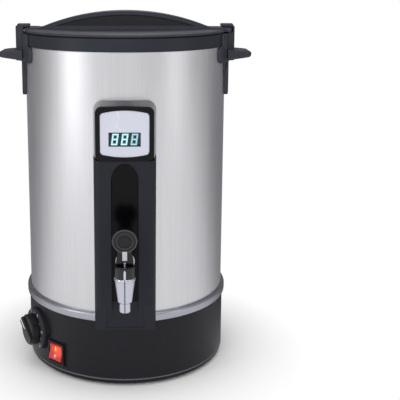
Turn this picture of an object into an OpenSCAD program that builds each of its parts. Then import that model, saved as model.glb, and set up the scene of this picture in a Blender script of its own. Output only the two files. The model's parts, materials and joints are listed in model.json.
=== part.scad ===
// Candle wax melter: a steel urn with an inner pot, a heater, a tap, a display column and a bayonet lid.
// Front is -Y, +X is to the right of a person who faces the tap, +Z is up. Lengths are in millimetres.
// The origin is on the urn's axis, on the surface that the feet stand on.

/* [Shell and base] */
// Outer diameter of the brushed steel shell
shell_d = 220; // [210:1:240]
// Wall of the steel shell
shell_t = 1; // [0.8:0.1:1.5]
// Height of the shell from the base housing to the top collar
shell_h = 280.5; // [275:0.5:320]
// Height of the black base housing
base_h = 65; // [62:1:80]
// How far the base housing stands proud of the shell
base_proud = 1.6; // [1:0.1:2.5]
// Wall of the plastic mouldings
wall = 3; // [2.5:0.1:3.5]
// Height of the plinth ring of the bottom cover
plinth_h = 5.5; // [4.5:0.5:8]
// Floor of the bottom cover
cover_t = 2.5; // [2:0.1:3]
// How far the feet lift the bottom cover
foot_h = 2.5; // [2:0.5:5]
// Diameter of a foot's pad
foot_d = 20; // [16:1:24]
// Diameter of the circle that the feet stand on
foot_circle_d = 176; // [160:1:180]
// Height of the bright trim ring
ring_h = 9; // [7:0.5:12]
// How far the trim ring stands proud of the shell
ring_proud = 4; // [3:0.1:5]

/* [Collar and pot] */
// Height of the black top collar
collar_h = 14; // [13:0.5:18]
// How far the collar stands proud of the shell
collar_proud = 1; // [0.6:0.1:1.6]
// How far the collar's spigot reaches into the shell
spigot_h = 10; // [8:0.5:12]
// Outer diameter of the inner pot
pot_d = 200; // [194:1:201]
// Wall of the inner pot
pot_t = 1; // [0.8:0.1:1.2]
// Width of the pot's rim flange beyond its wall
pot_flange_w = 6; // [5:0.5:6]
// Depth of the pot's floor below the tap's axis
floor_below_tap = 15; // [15:0.5:18]

/* [Heater] */
// Diameter of the heating plate
plate_d = 180; // [160:1:186]
// Thickness of the heating plate
plate_t = 10; // [8:0.5:12]
// Diameter of the heating element's tube
element_tube_d = 7; // [6:0.1:8]
// Diameter of the ring that the element is bent to
element_ring_d = 120; // [110:1:130]
// Half of the angle between the element's two ends, degrees
element_gap_deg = 14; // [10:1:20]
// Diameter of the pot's studs
stud_d = 5; // [4:0.5:6]
// Diameter of the circle of the studs
stud_circle_d = 152; // [146:1:156]
// Drop from the plate's underside to the heat shield
shield_drop = 22; // [18:1:26]
// Thickness of the heat shield
shield_t = 1; // [0.8:0.1:1.5]

/* [Front column] */
// Width of the front column
col_w = 62.5; // [60:0.5:70]
// How far the column stands out from the shell
col_proud = 18; // [16:0.5:22]
// Height where the column's black body ends and the display head begins
col_top = 252; // [250:1:256]
// How far the column's foot laps over the base housing
col_lap = 9; // [6:0.5:12]
// Height of the sloped foot of the column
col_slope_h = 34; // [28:1:36]
// Radius of the column's front edges
col_corner_r = 8; // [5:0.5:10]
// Width of the channel behind the tap
channel_w = 27; // [24:0.5:30]
// Depth of the channel
channel_depth = 6; // [4:0.5:7]
// Height of the arch that closes the channel at its top
channel_arch_h = 18; // [12:1:20]
// Width of the sunk panel in the column's foot
foot_panel_w = 40; // [34:1:44]
// Depth of the sunk panel
foot_panel_depth = 1.2; // [0.8:0.1:1.6]

/* [Display head] */
// Height of the head above the column's black body, at the shell
head_h = 54; // [52:0.5:58]
// How much smaller the head's front is than its back, on each side
head_draft = 2.4; // [1.5:0.1:3]
// Radius of the head's upper corners
head_corner_r = 7; // [5:0.5:9]
// Wall of the silver surround
surround_t = 2; // [1.6:0.1:2.2]
// Width of the black bezel's frame
bezel_w = 4.6; // [4:0.1:5.2]
// Depth of the bezel
bezel_depth = 7; // [6:0.5:8]
// How far the bezel stands in front of the surround
bezel_proud = 1.5; // [1:0.1:2]
// Thickness of the face panel
panel_t = 2; // [1.6:0.1:2.4]
// How far the panel's front lies behind the bezel's front
panel_sunk = 0.8; // [0.5:0.1:1.2]
// Width of the window
window_w = 31.5; // [28:0.5:34]
// Height of the window
window_h = 14; // [12:0.5:16]
// Height of the window's middle above the column's black body
window_up = 18; // [16:0.5:22]
// Height of a digit
digit_h = 10; // [8:0.5:11]
// Width of a digit
digit_w = 6.2; // [5:0.2:7]
// Distance from one digit to the next
digit_pitch = 9.6; // [8.4:0.2:10]
// Width of a digit's segment
segment_w = 1.3; // [1:0.1:1.6]
// Lean of the digits, degrees
digit_lean = 8; // [0:1:10]

/* [Tap] */
// Height of the tap's axis above the surface
tap_z = 144; // [140:1:150]
// Distance from the urn's axis to the tap's barrel
tap_reach = 160; // [156:1:170]
// Diameter of the tap's threaded shank
shank_d = 12; // [11:0.5:14]
// Bore of the tap
tap_bore_d = 8; // [7:0.5:9]
// Diameter of the shank's flange
tap_flange_d = 19.4; // [18:0.2:22]
// Diameter of the cup's rolled rim
cup_d = 21.4; // [20:0.2:23]
// Diameter of the cup at its lower end
cup_low_d = 14.4; // [13:0.2:16]
// Diameter of the nozzle
nozzle_d = 11; // [10:0.2:12]
// Length of the nozzle
nozzle_h = 10; // [7:0.5:14]
// Height of the tapered cup
cup_h = 23; // [20:0.5:26]
// Diameter of the black bonnet
bonnet_d = 19; // [18:0.2:20]
// Diameter of the lever's round pad
pad_d = 24.4; // [22:0.2:27]
// Height of the pad's middle above the lever's pivot
pad_up = 21.5; // [20:0.5:24]
// Width of the lever at its foot
lever_foot_w = 17.2; // [16.6:0.2:19]
// Width of the lever at its neck
lever_neck_w = 13.6; // [13.4:0.2:15]
// Forward lean of the lever's face, degrees
lever_lean = 6; // [3:0.5:8]
// Diameter of the lever's pivot pins
pivot_d = 3; // [2.4:0.1:3.2]
// Diameter of the valve stem
stem_d = 3; // [2.6:0.1:3.2]
// Turns of the valve spring
spring_turns = 7; // [5:1:9]
// Wire of the valve spring
spring_wire_d = 0.8; // [0.6:0.1:1]

/* [Handles] */
// Distance from the urn's axis to a handle's tip
grip_reach = 138; // [134:1:146]
// Width of a handle's grip
grip_w = 48; // [42:1:54]
// Thickness of the grip at its tip
grip_t = 6.5; // [6:0.5:9]
// Drop from the collar's top to the grip's top
grip_drop = 20.5; // [19:0.5:24]
// Width of the hook post
post_w = 24; // [20:1:28]
// Distance from the urn's axis to the post's outer face
post_reach = 119.7; // [119:0.1:122]
// How far the post rises above the collar
post_rise = 8; // [7.6:0.1:9]
// Width of the root flange that hugs the shell
root_w = 104; // [96:1:110]
// Drop from the shell's top to the root flange's lower edge
root_drop = 17.5; // [16:0.5:20]
// Thickness of the root flange
root_t = 3.4; // [3:0.1:4]
// Length of the strap below the root flange
strap_len = 36; // [28:1:44]
// Width of the strap at its upper end
strap_w = 64; // [56:1:68]
// How much narrower the strap's lower end is, on each side
strap_taper = 5; // [2:0.5:7]
// Thickness of the strap
strap_t = 4.4; // [3.8:0.1:5]

/* [Lid] */
// Thickness of the lid's disc at its rim
lid_t = 2.8; // [2.4:0.1:3.2]
// Width of the arched grip ridge
ridge_w = 37; // [32:1:42]
// Half of the ridge's length
ridge_half = 93; // [88:1:98]
// Height of the ridge's top above the collar
ridge_h = 22.5; // [18:0.5:28]
// Height of the shoulders beside the ridge, above the collar
shoulder_h = 4.3; // [3.8:0.1:4.6]
// Wall of the hollow ridge
ridge_wall = 2.5; // [2:0.1:3]
// Thickness of a bayonet lug
lug_t = 4.2; // [3.8:0.1:4.4]
// Width of a bayonet lug
lug_w = 12; // [10:0.5:14]
// How far a lug reaches beyond the lid's rim
lug_reach = 5.8; // [4.6:0.1:6]
// Drop of the liner's rim below the lid
liner_drop = 13.5; // [10:0.5:18]
// Width of the seal ring
seal_w = 7; // [6:0.5:7.4]

/* [Controls] */
// Azimuth of the thermostat knob, degrees from the front
knob_az = -61; // [-64:1:-60]
// Height of the knob's axis
knob_z = 42; // [38:1:44]
// Diameter of the dial plate
dial_d = 46; // [42:1:48]
// Thickness of the dial plate
dial_t = 4.2; // [3:0.1:5]
// Diameter of the knob
knob_d = 34; // [30:1:38]
// Length of the knob
knob_len = 10.5; // [9:0.5:16]
// Diameter of the thermostat's spindle
spindle_d = 6; // [5:0.5:6.4]
// Azimuth of the rocker switch, degrees from the front
switch_az = -42; // [-42:1:-38]
// Height of the rocker's pivot
switch_z = 26; // [24:1:34]
// Side of the switch's square frame
switch_frame = 24.4; // [24:0.2:27]
// Width of the red rocker
rocker_w = 18.4; // [16:0.2:19]
// Radius of the rocker's curved ends about its pivot
rocker_r = 9.5; // [8.5:0.1:9.8]
// Tilt of the rocker to each side of its middle, degrees
rocker_tilt = 8; // [6:1:9]

/* [Mains inlet] */
// Height of the inlet's middle
inlet_z = 40; // [36:1:46]
// Width of the inlet's flange
inlet_w = 50; // [48:1:54]
// Height of the inlet's flange
inlet_h = 24; // [23:0.5:28]
// Distance between the inlet's two screws
inlet_screw_pitch = 40; // [39:0.5:42]
// Width of the inlet's well
well_w = 24.5; // [24:0.1:25]
// Height of the inlet's well
well_h = 16.5; // [16:0.1:17]
// Depth of the inlet's well
well_depth = 16; // [15:0.5:18]

/* [Fasteners and clearances] */
// Diameter of the self-tapping screws
screw_d = 3.5; // [3:0.1:4]
// Diameter of a screw's head
screw_head_d = 7; // [6:0.1:7.6]
// Height of a screw's head
screw_head_h = 1.6; // [1.4:0.1:2]
// Gap round a turning or sliding shaft
running_gap = 0.05; // [0.02:0.01:0.08]
// Gap between curved pieces that seat on each other
seat_gap = 0.1; // [0.05:0.01:0.15]
// Gap round moving pieces
move_gap = 0.4; // [0.3:0.05:0.6]

/* [Hidden] */
$fn = 96;
over = 1;                                   // how far a cutter runs past the face that it cuts

shell_r = shell_d / 2;
shell_ri = shell_r - shell_t;
housing_r = shell_r + base_proud;
plinth_r = housing_r - 0.6;
ring_r = shell_r + ring_proud;
collar_r = shell_r + collar_proud;
pot_r = pot_d / 2;

cover_top = foot_h + cover_t;
plinth_top = foot_h + plinth_h;
base_top = plinth_top + base_h;
ring_top = base_top + ring_h;
shell_top = base_top + shell_h;
collar_top = shell_top + collar_h;
spigot_bottom = shell_top - spigot_h;
ledge_z = collar_top - 6;                   // the collar's inner ledge, which carries the pot's flange
pot_rim_z = ledge_z + pot_t;
pot_inner_floor = tap_z - floor_below_tap;
pot_bottom = pot_inner_floor - pot_t;
plate_bottom = pot_bottom - plate_t;
shield_z = plate_bottom - shield_drop;
flange_r = pot_r + pot_flange_w;

col_front = shell_r + col_proud;
col_foot = base_top - col_lap;
col_slope_top = col_foot + col_slope_h;
channel_floor = col_front - channel_depth;
channel_top = col_top - 6;
head_top = col_top + head_h;

screw_r = screw_d / 2;
screw_hole_r = screw_r + seat_gap;
boss_r = screw_r + 2.6;

// turns what points to the front so that it points to an azimuth
module turn_to(az) {
    rotate([0, 0, az]) children();
}

// a rod that points outwards along -Y, between two distances from the urn's axis
module out_rod(r, from, to, x = 0, z = 0) {
    translate([x, -from, z]) rotate([90, 0, 0]) cylinder(r = r, h = to - from);
}

// a block that points outwards along -Y, w wide and h high about its middle
module out_block(w, h, from, to, x = 0, z = 0) {
    translate([x - w / 2, -to, z - h / 2]) cube([w, to - from, h]);
}

// an outline in the X-Z plane, made solid between two distances from the urn's axis
module out_plate(from, to) {
    translate([0, -from, 0]) rotate([90, 0, 0]) linear_extrude(to - from) children();
}

module tube(r_out, r_in, z0, z1) {
    difference() {
        translate([0, 0, z0]) cylinder(r = r_out, h = z1 - z0);
        translate([0, 0, z0 - over]) cylinder(r = r_in, h = z1 - z0 + 2 * over);
    }
}

// a flat outline with round corners, its lower left corner at the origin
module round_rect(w, h, r) {
    translate([r, 0]) square([w - 2 * r, h]);
    translate([0, r]) square([w, h - 2 * r]);
    for (x = [r, w - r]) for (y = [r, h - r]) translate([x, y]) circle(r = r, $fn = 48);
}

module hex_nut(across_flats, bore_r, h) {
    difference() {
        cylinder(r = across_flats / sqrt(3), h = h, $fn = 6);
        translate([0, 0, -over]) cylinder(r = bore_r, h = h + 2 * over);
    }
}

// a pan-head screw along +Z, its head below the origin
module screw(length, r = screw_r, head_r = screw_head_d / 2, head_h = screw_head_h) {
    cylinder(r = r, h = length);
    difference() {
        translate([0, 0, -head_h]) cylinder(r = head_r, h = head_h);
        translate([-head_r * 0.6, -0.4, -head_h - over]) cube([head_r * 1.2, 0.8, over + head_h * 0.45]);
        translate([-0.4, -head_r * 0.6, -head_h - over]) cube([0.8, head_r * 1.2, over + head_h * 0.45]);
    }
}

// the points and faces of a tube along a list of points
function unit(v) = v / norm(v);
function heading(path, i) =
    unit(path[min(i + 1, len(path) - 1)] - path[max(i - 1, 0)]);
function tube_ring(p, dir, up, r, sides) =
    let (u = unit(cross(dir, up)), v = cross(u, dir))
    [for (k = [0:sides - 1]) p + r * (cos(360 * k / sides) * u + sin(360 * k / sides) * v)];
module swept_tube(path, ups, r, sides = 8) {
    rings = len(path);
    points = [for (i = [0:rings - 1]) each tube_ring(path[i], heading(path, i), ups[i], r, sides)];
    side_faces = [
        for (i = [0:rings - 2]) for (k = [0:sides - 1])
            let (a = i * sides + k, b = i * sides + (k + 1) % sides) each [
                [a, b, b + sides], [a, b + sides, a + sides]
            ]
    ];
    start_cap = [for (k = [1:sides - 2]) [0, k + 1, k]];
    last = (rings - 1) * sides;
    end_cap = [for (k = [1:sides - 2]) [last, last + k, last + k + 1]];
    polyhedron(points = points, faces = concat(side_faces, start_cap, end_cap));
}

// a smooth curve through hand-chosen points: each span is a cubic that keeps its neighbours' headings
function curve_point(a, b, c, d, t) =
    0.5 * ((2 * b) + (c - a) * t + (2 * a - 5 * b + 4 * c - d) * t * t + (3 * b - a - 3 * c + d) * t * t * t);
function curve(stops, steps) =
    let (n = len(stops))
    concat(
        [for (i = [0:n - 2]) for (k = [0:steps - 1])
            curve_point(stops[max(i - 1, 0)], stops[i], stops[i + 1], stops[min(i + 2, n - 1)], k / steps)],
        [stops[n - 1]]
    );

// ---------------------------------------------------------------- base

foot_stem_r = 4;
foot_barb_r = 5.5;
foot_barb_h = 2.4;

module at_feet() {
    for (k = [0:3]) rotate([0, 0, 45 + 90 * k]) translate([foot_circle_d / 2, 0, 0]) children();
}

// push-in feet: pad, stem through the cover, barb above it
module rubber_feet() {
    color("#18181a") at_feet() {
        translate([0, 0, 1]) cylinder(r = foot_d / 2, h = foot_h - 1);
        cylinder(r = foot_d / 2 - 1, h = foot_h);
        cylinder(r = foot_stem_r, h = cover_top + foot_barb_h);
        translate([0, 0, cover_top]) cylinder(r = foot_barb_r, h = foot_barb_h);
    }
}

cover_screw_r = housing_r - wall - boss_r + 0.5;   // circle of the bosses, just merged with the wall

module at_cover_screws() {
    for (k = [0:3]) rotate([0, 0, 10 + 90 * k]) translate([cover_screw_r, 0, 0]) children();
}

module bottom_cover() {
    color("#1b1c1f") difference() {
        rotate_extrude() polygon([
            [0, foot_h], [plinth_r - 1.5, foot_h], [plinth_r, foot_h + 1.5], [plinth_r, plinth_top],
            [plinth_r - wall, plinth_top], [plinth_r - wall, cover_top], [0, cover_top]
        ]);
        at_feet() translate([0, 0, foot_h - over]) cylinder(r = foot_stem_r, h = cover_t + 2 * over);
        at_cover_screws() translate([0, 0, foot_h - over]) cylinder(r = screw_hole_r, h = cover_t + 2 * over);
        for (k = [-3:3]) translate([k * 9 - 2, -30, foot_h - over]) cube([4, 60, cover_t + 2 * over]);
    }
}

cover_screw_len = 16;

module bottom_screws() {
    color("#b9bcc2") at_cover_screws() translate([0, 0, foot_h]) screw(cover_screw_len);
}

dial_seat = housing_r + 0.6;                // flat pads on the round housing, measured from the urn's axis
switch_seat = housing_r + 0.4;
inlet_seat = housing_r + 0.8;
pad_back = housing_r - 8.6;
bush_r = 5;
switch_hole = switch_frame - 2.4;
inlet_hole_w = well_w + 3.4;
inlet_hole_h = well_h + 3.4;
base_spigot_h = 6;
base_spigot_t = 4;
deck_r = housing_r - 16;

module base_housing() {
    boss_z = cover_top;
    color("#24262a") difference() {
        union() {
            tube(housing_r, housing_r - wall, plinth_top, base_top);
            tube(housing_r - wall / 2, deck_r, base_top - wall, base_top);
            tube(shell_ri - seat_gap, shell_ri - base_spigot_t, base_top - wall, base_top + base_spigot_h);
            at_cover_screws() translate([0, 0, boss_z]) cylinder(r = boss_r, h = 30);
            intersection() {
                translate([0, 0, plinth_top]) cylinder(r = housing_r - 0.5, h = base_h);
                at_cover_screws() translate([0, -2, plinth_top]) cube([boss_r + 8, 4, 25]);
            }
            turn_to(knob_az) out_rod(dial_d / 2 + 1.6, pad_back, dial_seat, z = knob_z);
            turn_to(switch_az) out_block(switch_frame + 3, switch_frame + 3, pad_back, switch_seat, z = switch_z);
            turn_to(180) out_block(inlet_w + 4, inlet_h + 4, pad_back, inlet_seat, z = inlet_z);
        }
        at_cover_screws() translate([0, 0, boss_z - over]) cylinder(r = screw_hole_r, h = cover_screw_len + over);
        tube(housing_r, plinth_r - wall - seat_gap, boss_z - over, plinth_top);
        turn_to(knob_az) out_rod(bush_r + seat_gap, pad_back - over, dial_seat + over, z = knob_z);
        turn_to(switch_az)
            out_block(switch_hole, switch_hole, pad_back - over, switch_seat + over, z = switch_z);
        turn_to(180) out_block(inlet_hole_w, inlet_hole_h, pad_back - over, inlet_seat + over, z = inlet_z);
        at_inlet_screws() out_rod(inlet_screw_r + seat_gap, pad_back - over, inlet_seat + over);
        at_ring_screws() out_rod(ring_screw_r + seat_gap, shell_ri - base_spigot_t - over, shell_ri + over);
    }
}

ring_screw_r = 1.5;
ring_screw_z = base_top + 3.4;

module at_ring_screws() {
    for (az = [-125, -55, 55, 125]) turn_to(az) translate([0, 0, ring_screw_z]) children();
}

// the bright ring is open where the column passes
module trim_ring() {
    color("#c9ccd2") difference() {
        rotate_extrude() polygon([
            [shell_r + seat_gap, base_top], [ring_r - 0.6, base_top], [ring_r, base_top + 0.8],
            [ring_r, ring_top - 2.6], [ring_r - 0.5, ring_top - 1.1], [ring_r - 1.4, ring_top - 0.3],
            [ring_r - 2.4, ring_top], [shell_r + seat_gap, ring_top]
        ]);
        out_block(col_w + 2 * seat_gap, ring_h * 4, shell_r - 10, ring_r + 10, z = ring_top);
        at_ring_screws() out_rod(ring_screw_r + seat_gap, shell_r, ring_r - 1);
    }
}

// screws from inside the base's spigot, through the shell and into the ring
module ring_screws() {
    color("#9a9da3") at_ring_screws() translate([0, -(shell_ri - base_spigot_t - 0.2), 0]) rotate([90, 0, 0])
        screw(base_spigot_t + shell_t + 2, ring_screw_r, 2.8, 1.4);
}

// ---------------------------------------------------------------- shell, collar and pot

column_screw_x = 22;
column_screw_zs = [base_top + 42, col_top - 30];
column_screw_seat = sqrt(pow(shell_ri, 2) - pow(column_screw_x + screw_head_d / 2, 2)) - 0.05;
lead_hole_r = 6;
lead_hole_z = col_top - 12;

module at_column_screws() {
    for (z = column_screw_zs) for (side = [-1, 1]) translate([side * column_screw_x, 0, z]) children();
}

handle_screw_z = shell_top - 5.5;
handle_screw_az = 15;
strap_screw_z = shell_top - root_drop - strap_len + 12;

// the handles' screws, which point outwards: two in the root flange and one in the strap of each handle
module at_root_screws() {
    for (az = [-90, 90]) for (side = [-1, 1]) turn_to(az + side * handle_screw_az)
        translate([0, 0, handle_screw_z]) children();
}

module at_strap_screws() {
    for (az = [-90, 90]) turn_to(az) translate([0, 0, strap_screw_z]) children();
}

module outer_shell() {
    color("#d6d6da") difference() {
        tube(shell_r, shell_ri, base_top, shell_top);
        out_rod(shank_d / 2 + 0.3, shell_r - 10, shell_r + 10, z = tap_z);
        out_rod(lead_hole_r, shell_r - 10, shell_r + 10, z = lead_hole_z);
        at_column_screws() out_rod(screw_hole_r, shell_r - 20, shell_r + 10);
        at_root_screws() out_rod(screw_hole_r, shell_r - 10, shell_r + 10);
        at_strap_screws() out_rod(screw_hole_r, shell_r - 10, shell_r + 10);
        at_ring_screws() out_rod(ring_screw_r + seat_gap, shell_r - 10, shell_r + 10);
    }
}

collar_spigot_t = 4;
collar_floor_t = 3;

module top_collar() {
    color("#33363d") difference() {
        rotate_extrude() polygon([
            [shell_ri - seat_gap - collar_spigot_t, spigot_bottom], [shell_ri - seat_gap, spigot_bottom],
            [shell_ri - seat_gap, shell_top], [collar_r, shell_top], [collar_r, collar_top - 0.8],
            [collar_r - 0.8, collar_top], [flange_r + 0.3, collar_top], [flange_r + 0.3, ledge_z],
            [pot_r + 0.3, ledge_z], [pot_r + 0.3, ledge_z - collar_floor_t],
            [shell_ri - seat_gap - collar_spigot_t, ledge_z - collar_floor_t]
        ]);
        at_root_screws() out_rod(screw_hole_r, shell_ri - 10, shell_r + 1);
    }
}

pot_corner_r = 6;

module pot_outline(r, z0, z1, corner) {
    translate([0, z0]) square([r - corner, z1 - z0]);
    translate([0, z0 + corner]) square([r, z1 - z0 - corner]);
    translate([r - corner, z0 + corner]) circle(r = corner);
}

probe_az = 160;
probe_z = pot_bottom + 40;

module inner_pot() {
    color("#c4c6ca") difference() {
        rotate_extrude() difference() {
            union() {
                pot_outline(pot_r, pot_bottom, pot_rim_z, pot_corner_r);
                translate([0, ledge_z]) square([flange_r, pot_t]);
            }
            pot_outline(pot_r - pot_t, pot_inner_floor, pot_rim_z + over, pot_corner_r - pot_t);
            translate([-pot_r, pot_bottom - over]) square([pot_r, pot_rim_z]);
        }
        out_rod(shank_d / 2 + 0.3, pot_r - 10, pot_r + 5, z = tap_z);
    }
}

// ---------------------------------------------------------------- heater

element_ring_r = element_ring_d / 2;
element_r = element_tube_d / 2;
element_end_z = shield_z + 6;
stud_end_z = shield_z - 7;
nut_h = 4;

// places something on each of the three studs
module at_studs() {
    for (k = [0:2]) rotate([0, 0, 30 + 120 * k]) translate([stud_circle_d / 2, 0, 0]) children();
}

// the two ends of the element lie at the back
module at_element_ends() {
    for (side = [-1, 1]) turn_to(180 + side * element_gap_deg) translate([0, -element_ring_r, 0]) children();
}

module heating_plate() {
    color("#b3b6ba") difference() {
        translate([0, 0, plate_bottom]) cylinder(r = plate_d / 2, h = plate_t);
        translate([0, 0, plate_bottom]) rotate_extrude() translate([element_ring_r, 0])
            circle(r = element_r + seat_gap, $fn = 48);
        at_studs() translate([0, 0, plate_bottom - over]) cylinder(r = stud_d / 2 + 0.3, h = plate_t + 2 * over);
    }
}

element_pin_r = element_r - 0.7;

// a tubular element half sunk in the plate's groove, its two terminals below the ring's ends
module heating_element() {
    past_end = 3;                           // how far the ring runs past its terminals, degrees
    color("#5d5f63") union() {
        translate([0, 0, plate_bottom]) rotate([0, 0, 90 + element_gap_deg - past_end])
            rotate_extrude(angle = 360 - 2 * (element_gap_deg - past_end)) translate([element_ring_r, 0])
                circle(r = element_r, $fn = 48);
        at_element_ends() translate([0, 0, element_end_z])
            cylinder(r = element_pin_r, h = plate_bottom - 0.5 - element_end_z);
        at_element_ends() translate([-2, -0.4, element_end_z - 8]) cube([4, 0.8, 9]);
    }
}

module pot_studs() {
    color("#a5a8ad") at_studs() translate([0, 0, stud_end_z]) cylinder(r = stud_d / 2, h = pot_bottom - stud_end_z);
}

// three nuts hold the plate against the pot, three more carry the heat shield
module plate_nuts() {
    color("#a5a8ad") at_studs() {
        translate([0, 0, plate_bottom - nut_h]) hex_nut(stud_d * 1.6, stud_d / 2 + seat_gap, nut_h);
        translate([0, 0, shield_z - nut_h]) hex_nut(stud_d * 1.6, stud_d / 2 + seat_gap, nut_h);
    }
}

shield_r = pot_r - 4;
shield_rim_h = 14;
lead_slot_r = 16;
cutout_x = 30;
cutout_y = -20;

module heat_shield() {
    color("#a9abb0") difference() {
        union() {
            translate([0, 0, shield_z]) cylinder(r = shield_r, h = shield_t);
            tube(shield_r, shield_r - shield_t, shield_z, shield_z + shield_rim_h);
        }
        at_studs() translate([0, 0, shield_z - over]) cylinder(r = stud_d / 2 + 0.3, h = shield_t + 2 * over);
        at_element_ends() translate([0, 0, shield_z - over]) cylinder(r = element_r + 3, h = shield_t + 2 * over);
        translate([cutout_x, cutout_y, shield_z - over]) cylinder(r = lead_slot_r, h = shield_t + 2 * over);
        turn_to(knob_az) translate([0, -70, shield_z - over]) cylinder(r = 6, h = shield_t + 2 * over);
    }
}

cutout_r = 8;
cutout_h = 9;

// a snap-disc cut-out pressed on the plate, with its two tabs
module thermal_cutout() {
    color("#4a3b32") translate([cutout_x, cutout_y, 0]) {
        translate([0, 0, plate_bottom - cutout_h]) cylinder(r = cutout_r, h = cutout_h);
        for (side = [-1, 1]) translate([side * 4.5 - 0.4, -3, plate_bottom - cutout_h - 8]) cube([0.8, 6, 8 + over]);
    }
}

block_w = 36;
block_d = 18;
block_h = 16;
block_y = 36;

// a three-way terminal block on the cover's floor
module terminal_block() {
    color("#e4e2d8") difference() {
        translate([-block_w / 2, block_y - block_d / 2, cover_top]) cube([block_w, block_d, block_h]);
        for (k = [-1:1]) {
            translate([k * 11, block_y, cover_top + block_h / 2]) rotate([90, 0, 0])
                cylinder(r = 2.2, h = block_d + 2 * over, center = true);
            translate([k * 11, block_y, cover_top + block_h / 2]) cylinder(r = 2.4, h = block_h);
        }
    }
}

// ---------------------------------------------------------------- thermostat, knob and dial

thermostat_w = 34;
thermostat_deep = 24;
bush_end = dial_seat + dial_t + 0.8;
spindle_end = dial_seat + dial_t + 0.6 + knob_len - 2.4;
thermostat_back = pad_back - thermostat_deep;

module thermostat_body() {
    color("#8f9298") turn_to(knob_az) difference() {
        union() {
            out_block(thermostat_w, thermostat_w, thermostat_back, pad_back - seat_gap, z = knob_z);
            out_rod(bush_r, pad_back - over, bush_end, z = knob_z);
        }
        out_rod(spindle_d / 2 + running_gap, thermostat_back + 8, bush_end + over, z = knob_z);
    }
}

module dial_nut() {
    color("#a5a8ad") turn_to(knob_az) translate([0, -(dial_seat + dial_t - 1.6), knob_z]) rotate([90, 0, 0])
        hex_nut(14, bush_r + seat_gap, 2);
}

module dial_plate() {
    color("#2b2d31") turn_to(knob_az) difference() {
        union() {
            out_rod(dial_d / 2, dial_seat, dial_seat + dial_t - 1, z = knob_z);
            out_rod(dial_d / 2 - 1, dial_seat + dial_t - 1 - 0.1, dial_seat + dial_t, z = knob_z);
        }
        out_rod(bush_r + 0.2, dial_seat - over, dial_seat + dial_t + over, z = knob_z);
        out_rod(8.6, dial_seat + dial_t - 1.6, dial_seat + dial_t + over, z = knob_z);
    }
}

module thermostat_spindle() {
    color("#b9bcc2") turn_to(knob_az) out_rod(spindle_d / 2, thermostat_back + 8.4, spindle_end, z = knob_z);
}

knob_start = dial_seat + dial_t + 0.6;
knob_end = knob_start + knob_len;
pointer_w = 1.6;
pointer_len = knob_d / 2 - 4;

// a hollow round knob with a raised grip bar across its face
module control_knob() {
    color("#26282c") turn_to(knob_az) difference() {
        union() {
            out_rod(knob_d / 2, knob_start, knob_end - 3.4, z = knob_z);
            out_rod(knob_d / 2 - 1, knob_end - 3.5, knob_end - 2.4, z = knob_z);
            intersection() {
                out_rod(knob_d / 2 - 1, knob_end - 3, knob_end, z = knob_z);
                translate([0, 0, knob_z]) rotate([0, 35, 0]) translate([0, 0, -knob_z])
                    out_block(knob_d, 9, knob_end - 3, knob_end, z = knob_z);
            }
        }
        difference() {
            out_rod(knob_d / 2 - 2, knob_start - over, knob_start + 3, z = knob_z);
            out_rod(spindle_d / 2 + 3, knob_start + 1.2, knob_start + 4, z = knob_z);
        }
        out_rod(spindle_d / 2 + running_gap, knob_start - over, spindle_end + 0.1, z = knob_z);
        translate([0, 0, knob_z]) rotate([0, 35, 0]) translate([0, 0, -knob_z])
            out_block(pointer_len, pointer_w, knob_end - 0.5, knob_end + over, x = -pointer_len / 2 - 2, z = knob_z);
    }
}

module knob_pointer() {
    color("#e9e9ec") turn_to(knob_az) translate([0, 0, knob_z]) rotate([0, 35, 0]) translate([0, 0, -knob_z])
        out_block(pointer_len, pointer_w, knob_end - 0.5, knob_end + 0.1, x = -pointer_len / 2 - 2, z = knob_z);
}

// ---------------------------------------------------------------- rocker switch

rocker_cavity = 2 * (rocker_r + 0.3);
frame_t = 2;
pivot_at = switch_seat + frame_t - 4.2;
switch_back = pivot_at - 13;

module switch_housing() {
    color("#1c1d20") turn_to(switch_az) difference() {
        union() {
            out_block(switch_frame, switch_frame, switch_seat, switch_seat + frame_t, z = switch_z);
            out_block(switch_hole - 0.3, switch_hole - 0.3, switch_back, switch_seat + over, z = switch_z);
            for (x = [-6, 0, 6]) out_block(0.8, 4.8, switch_back - 8, switch_back + over, x = x, z = switch_z);
        }
        out_block(rocker_w + 0.6, rocker_cavity, switch_back + 1.6, switch_seat + frame_t + over, z = switch_z);
    }
}

// side view of the rocker, outwards to the left: a round about its pivot, with a shallow V in front and a flat back
module rocker_side() {
    reach = 1.1 * rocker_r;
    intersection() {
        circle(r = rocker_r);
        polygon([
            [-0.38 * rocker_r, 0], [-0.575 * rocker_r, reach], [0.42 * rocker_r, reach],
            [0.42 * rocker_r, -reach], [-0.575 * rocker_r, -reach]
        ]);
    }
}

module switch_rocker() {
    color("#d8201a") turn_to(switch_az) translate([0, -pivot_at, switch_z]) rotate([-rocker_tilt, 0, 0])
        translate([-rocker_w / 2, 0, 0]) rotate([90, 0, 90]) linear_extrude(rocker_w) rocker_side();
}

// ---------------------------------------------------------------- mains inlet

inlet_screw_r = 1.6;
inlet_flange_t = 3;
inlet_out = inlet_seat + inlet_flange_t;
well_back = inlet_out - well_depth;

module at_inlet_screws() {
    for (side = [-1, 1]) turn_to(180) translate([side * inlet_screw_pitch / 2, 0, inlet_z]) children();
}

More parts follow.
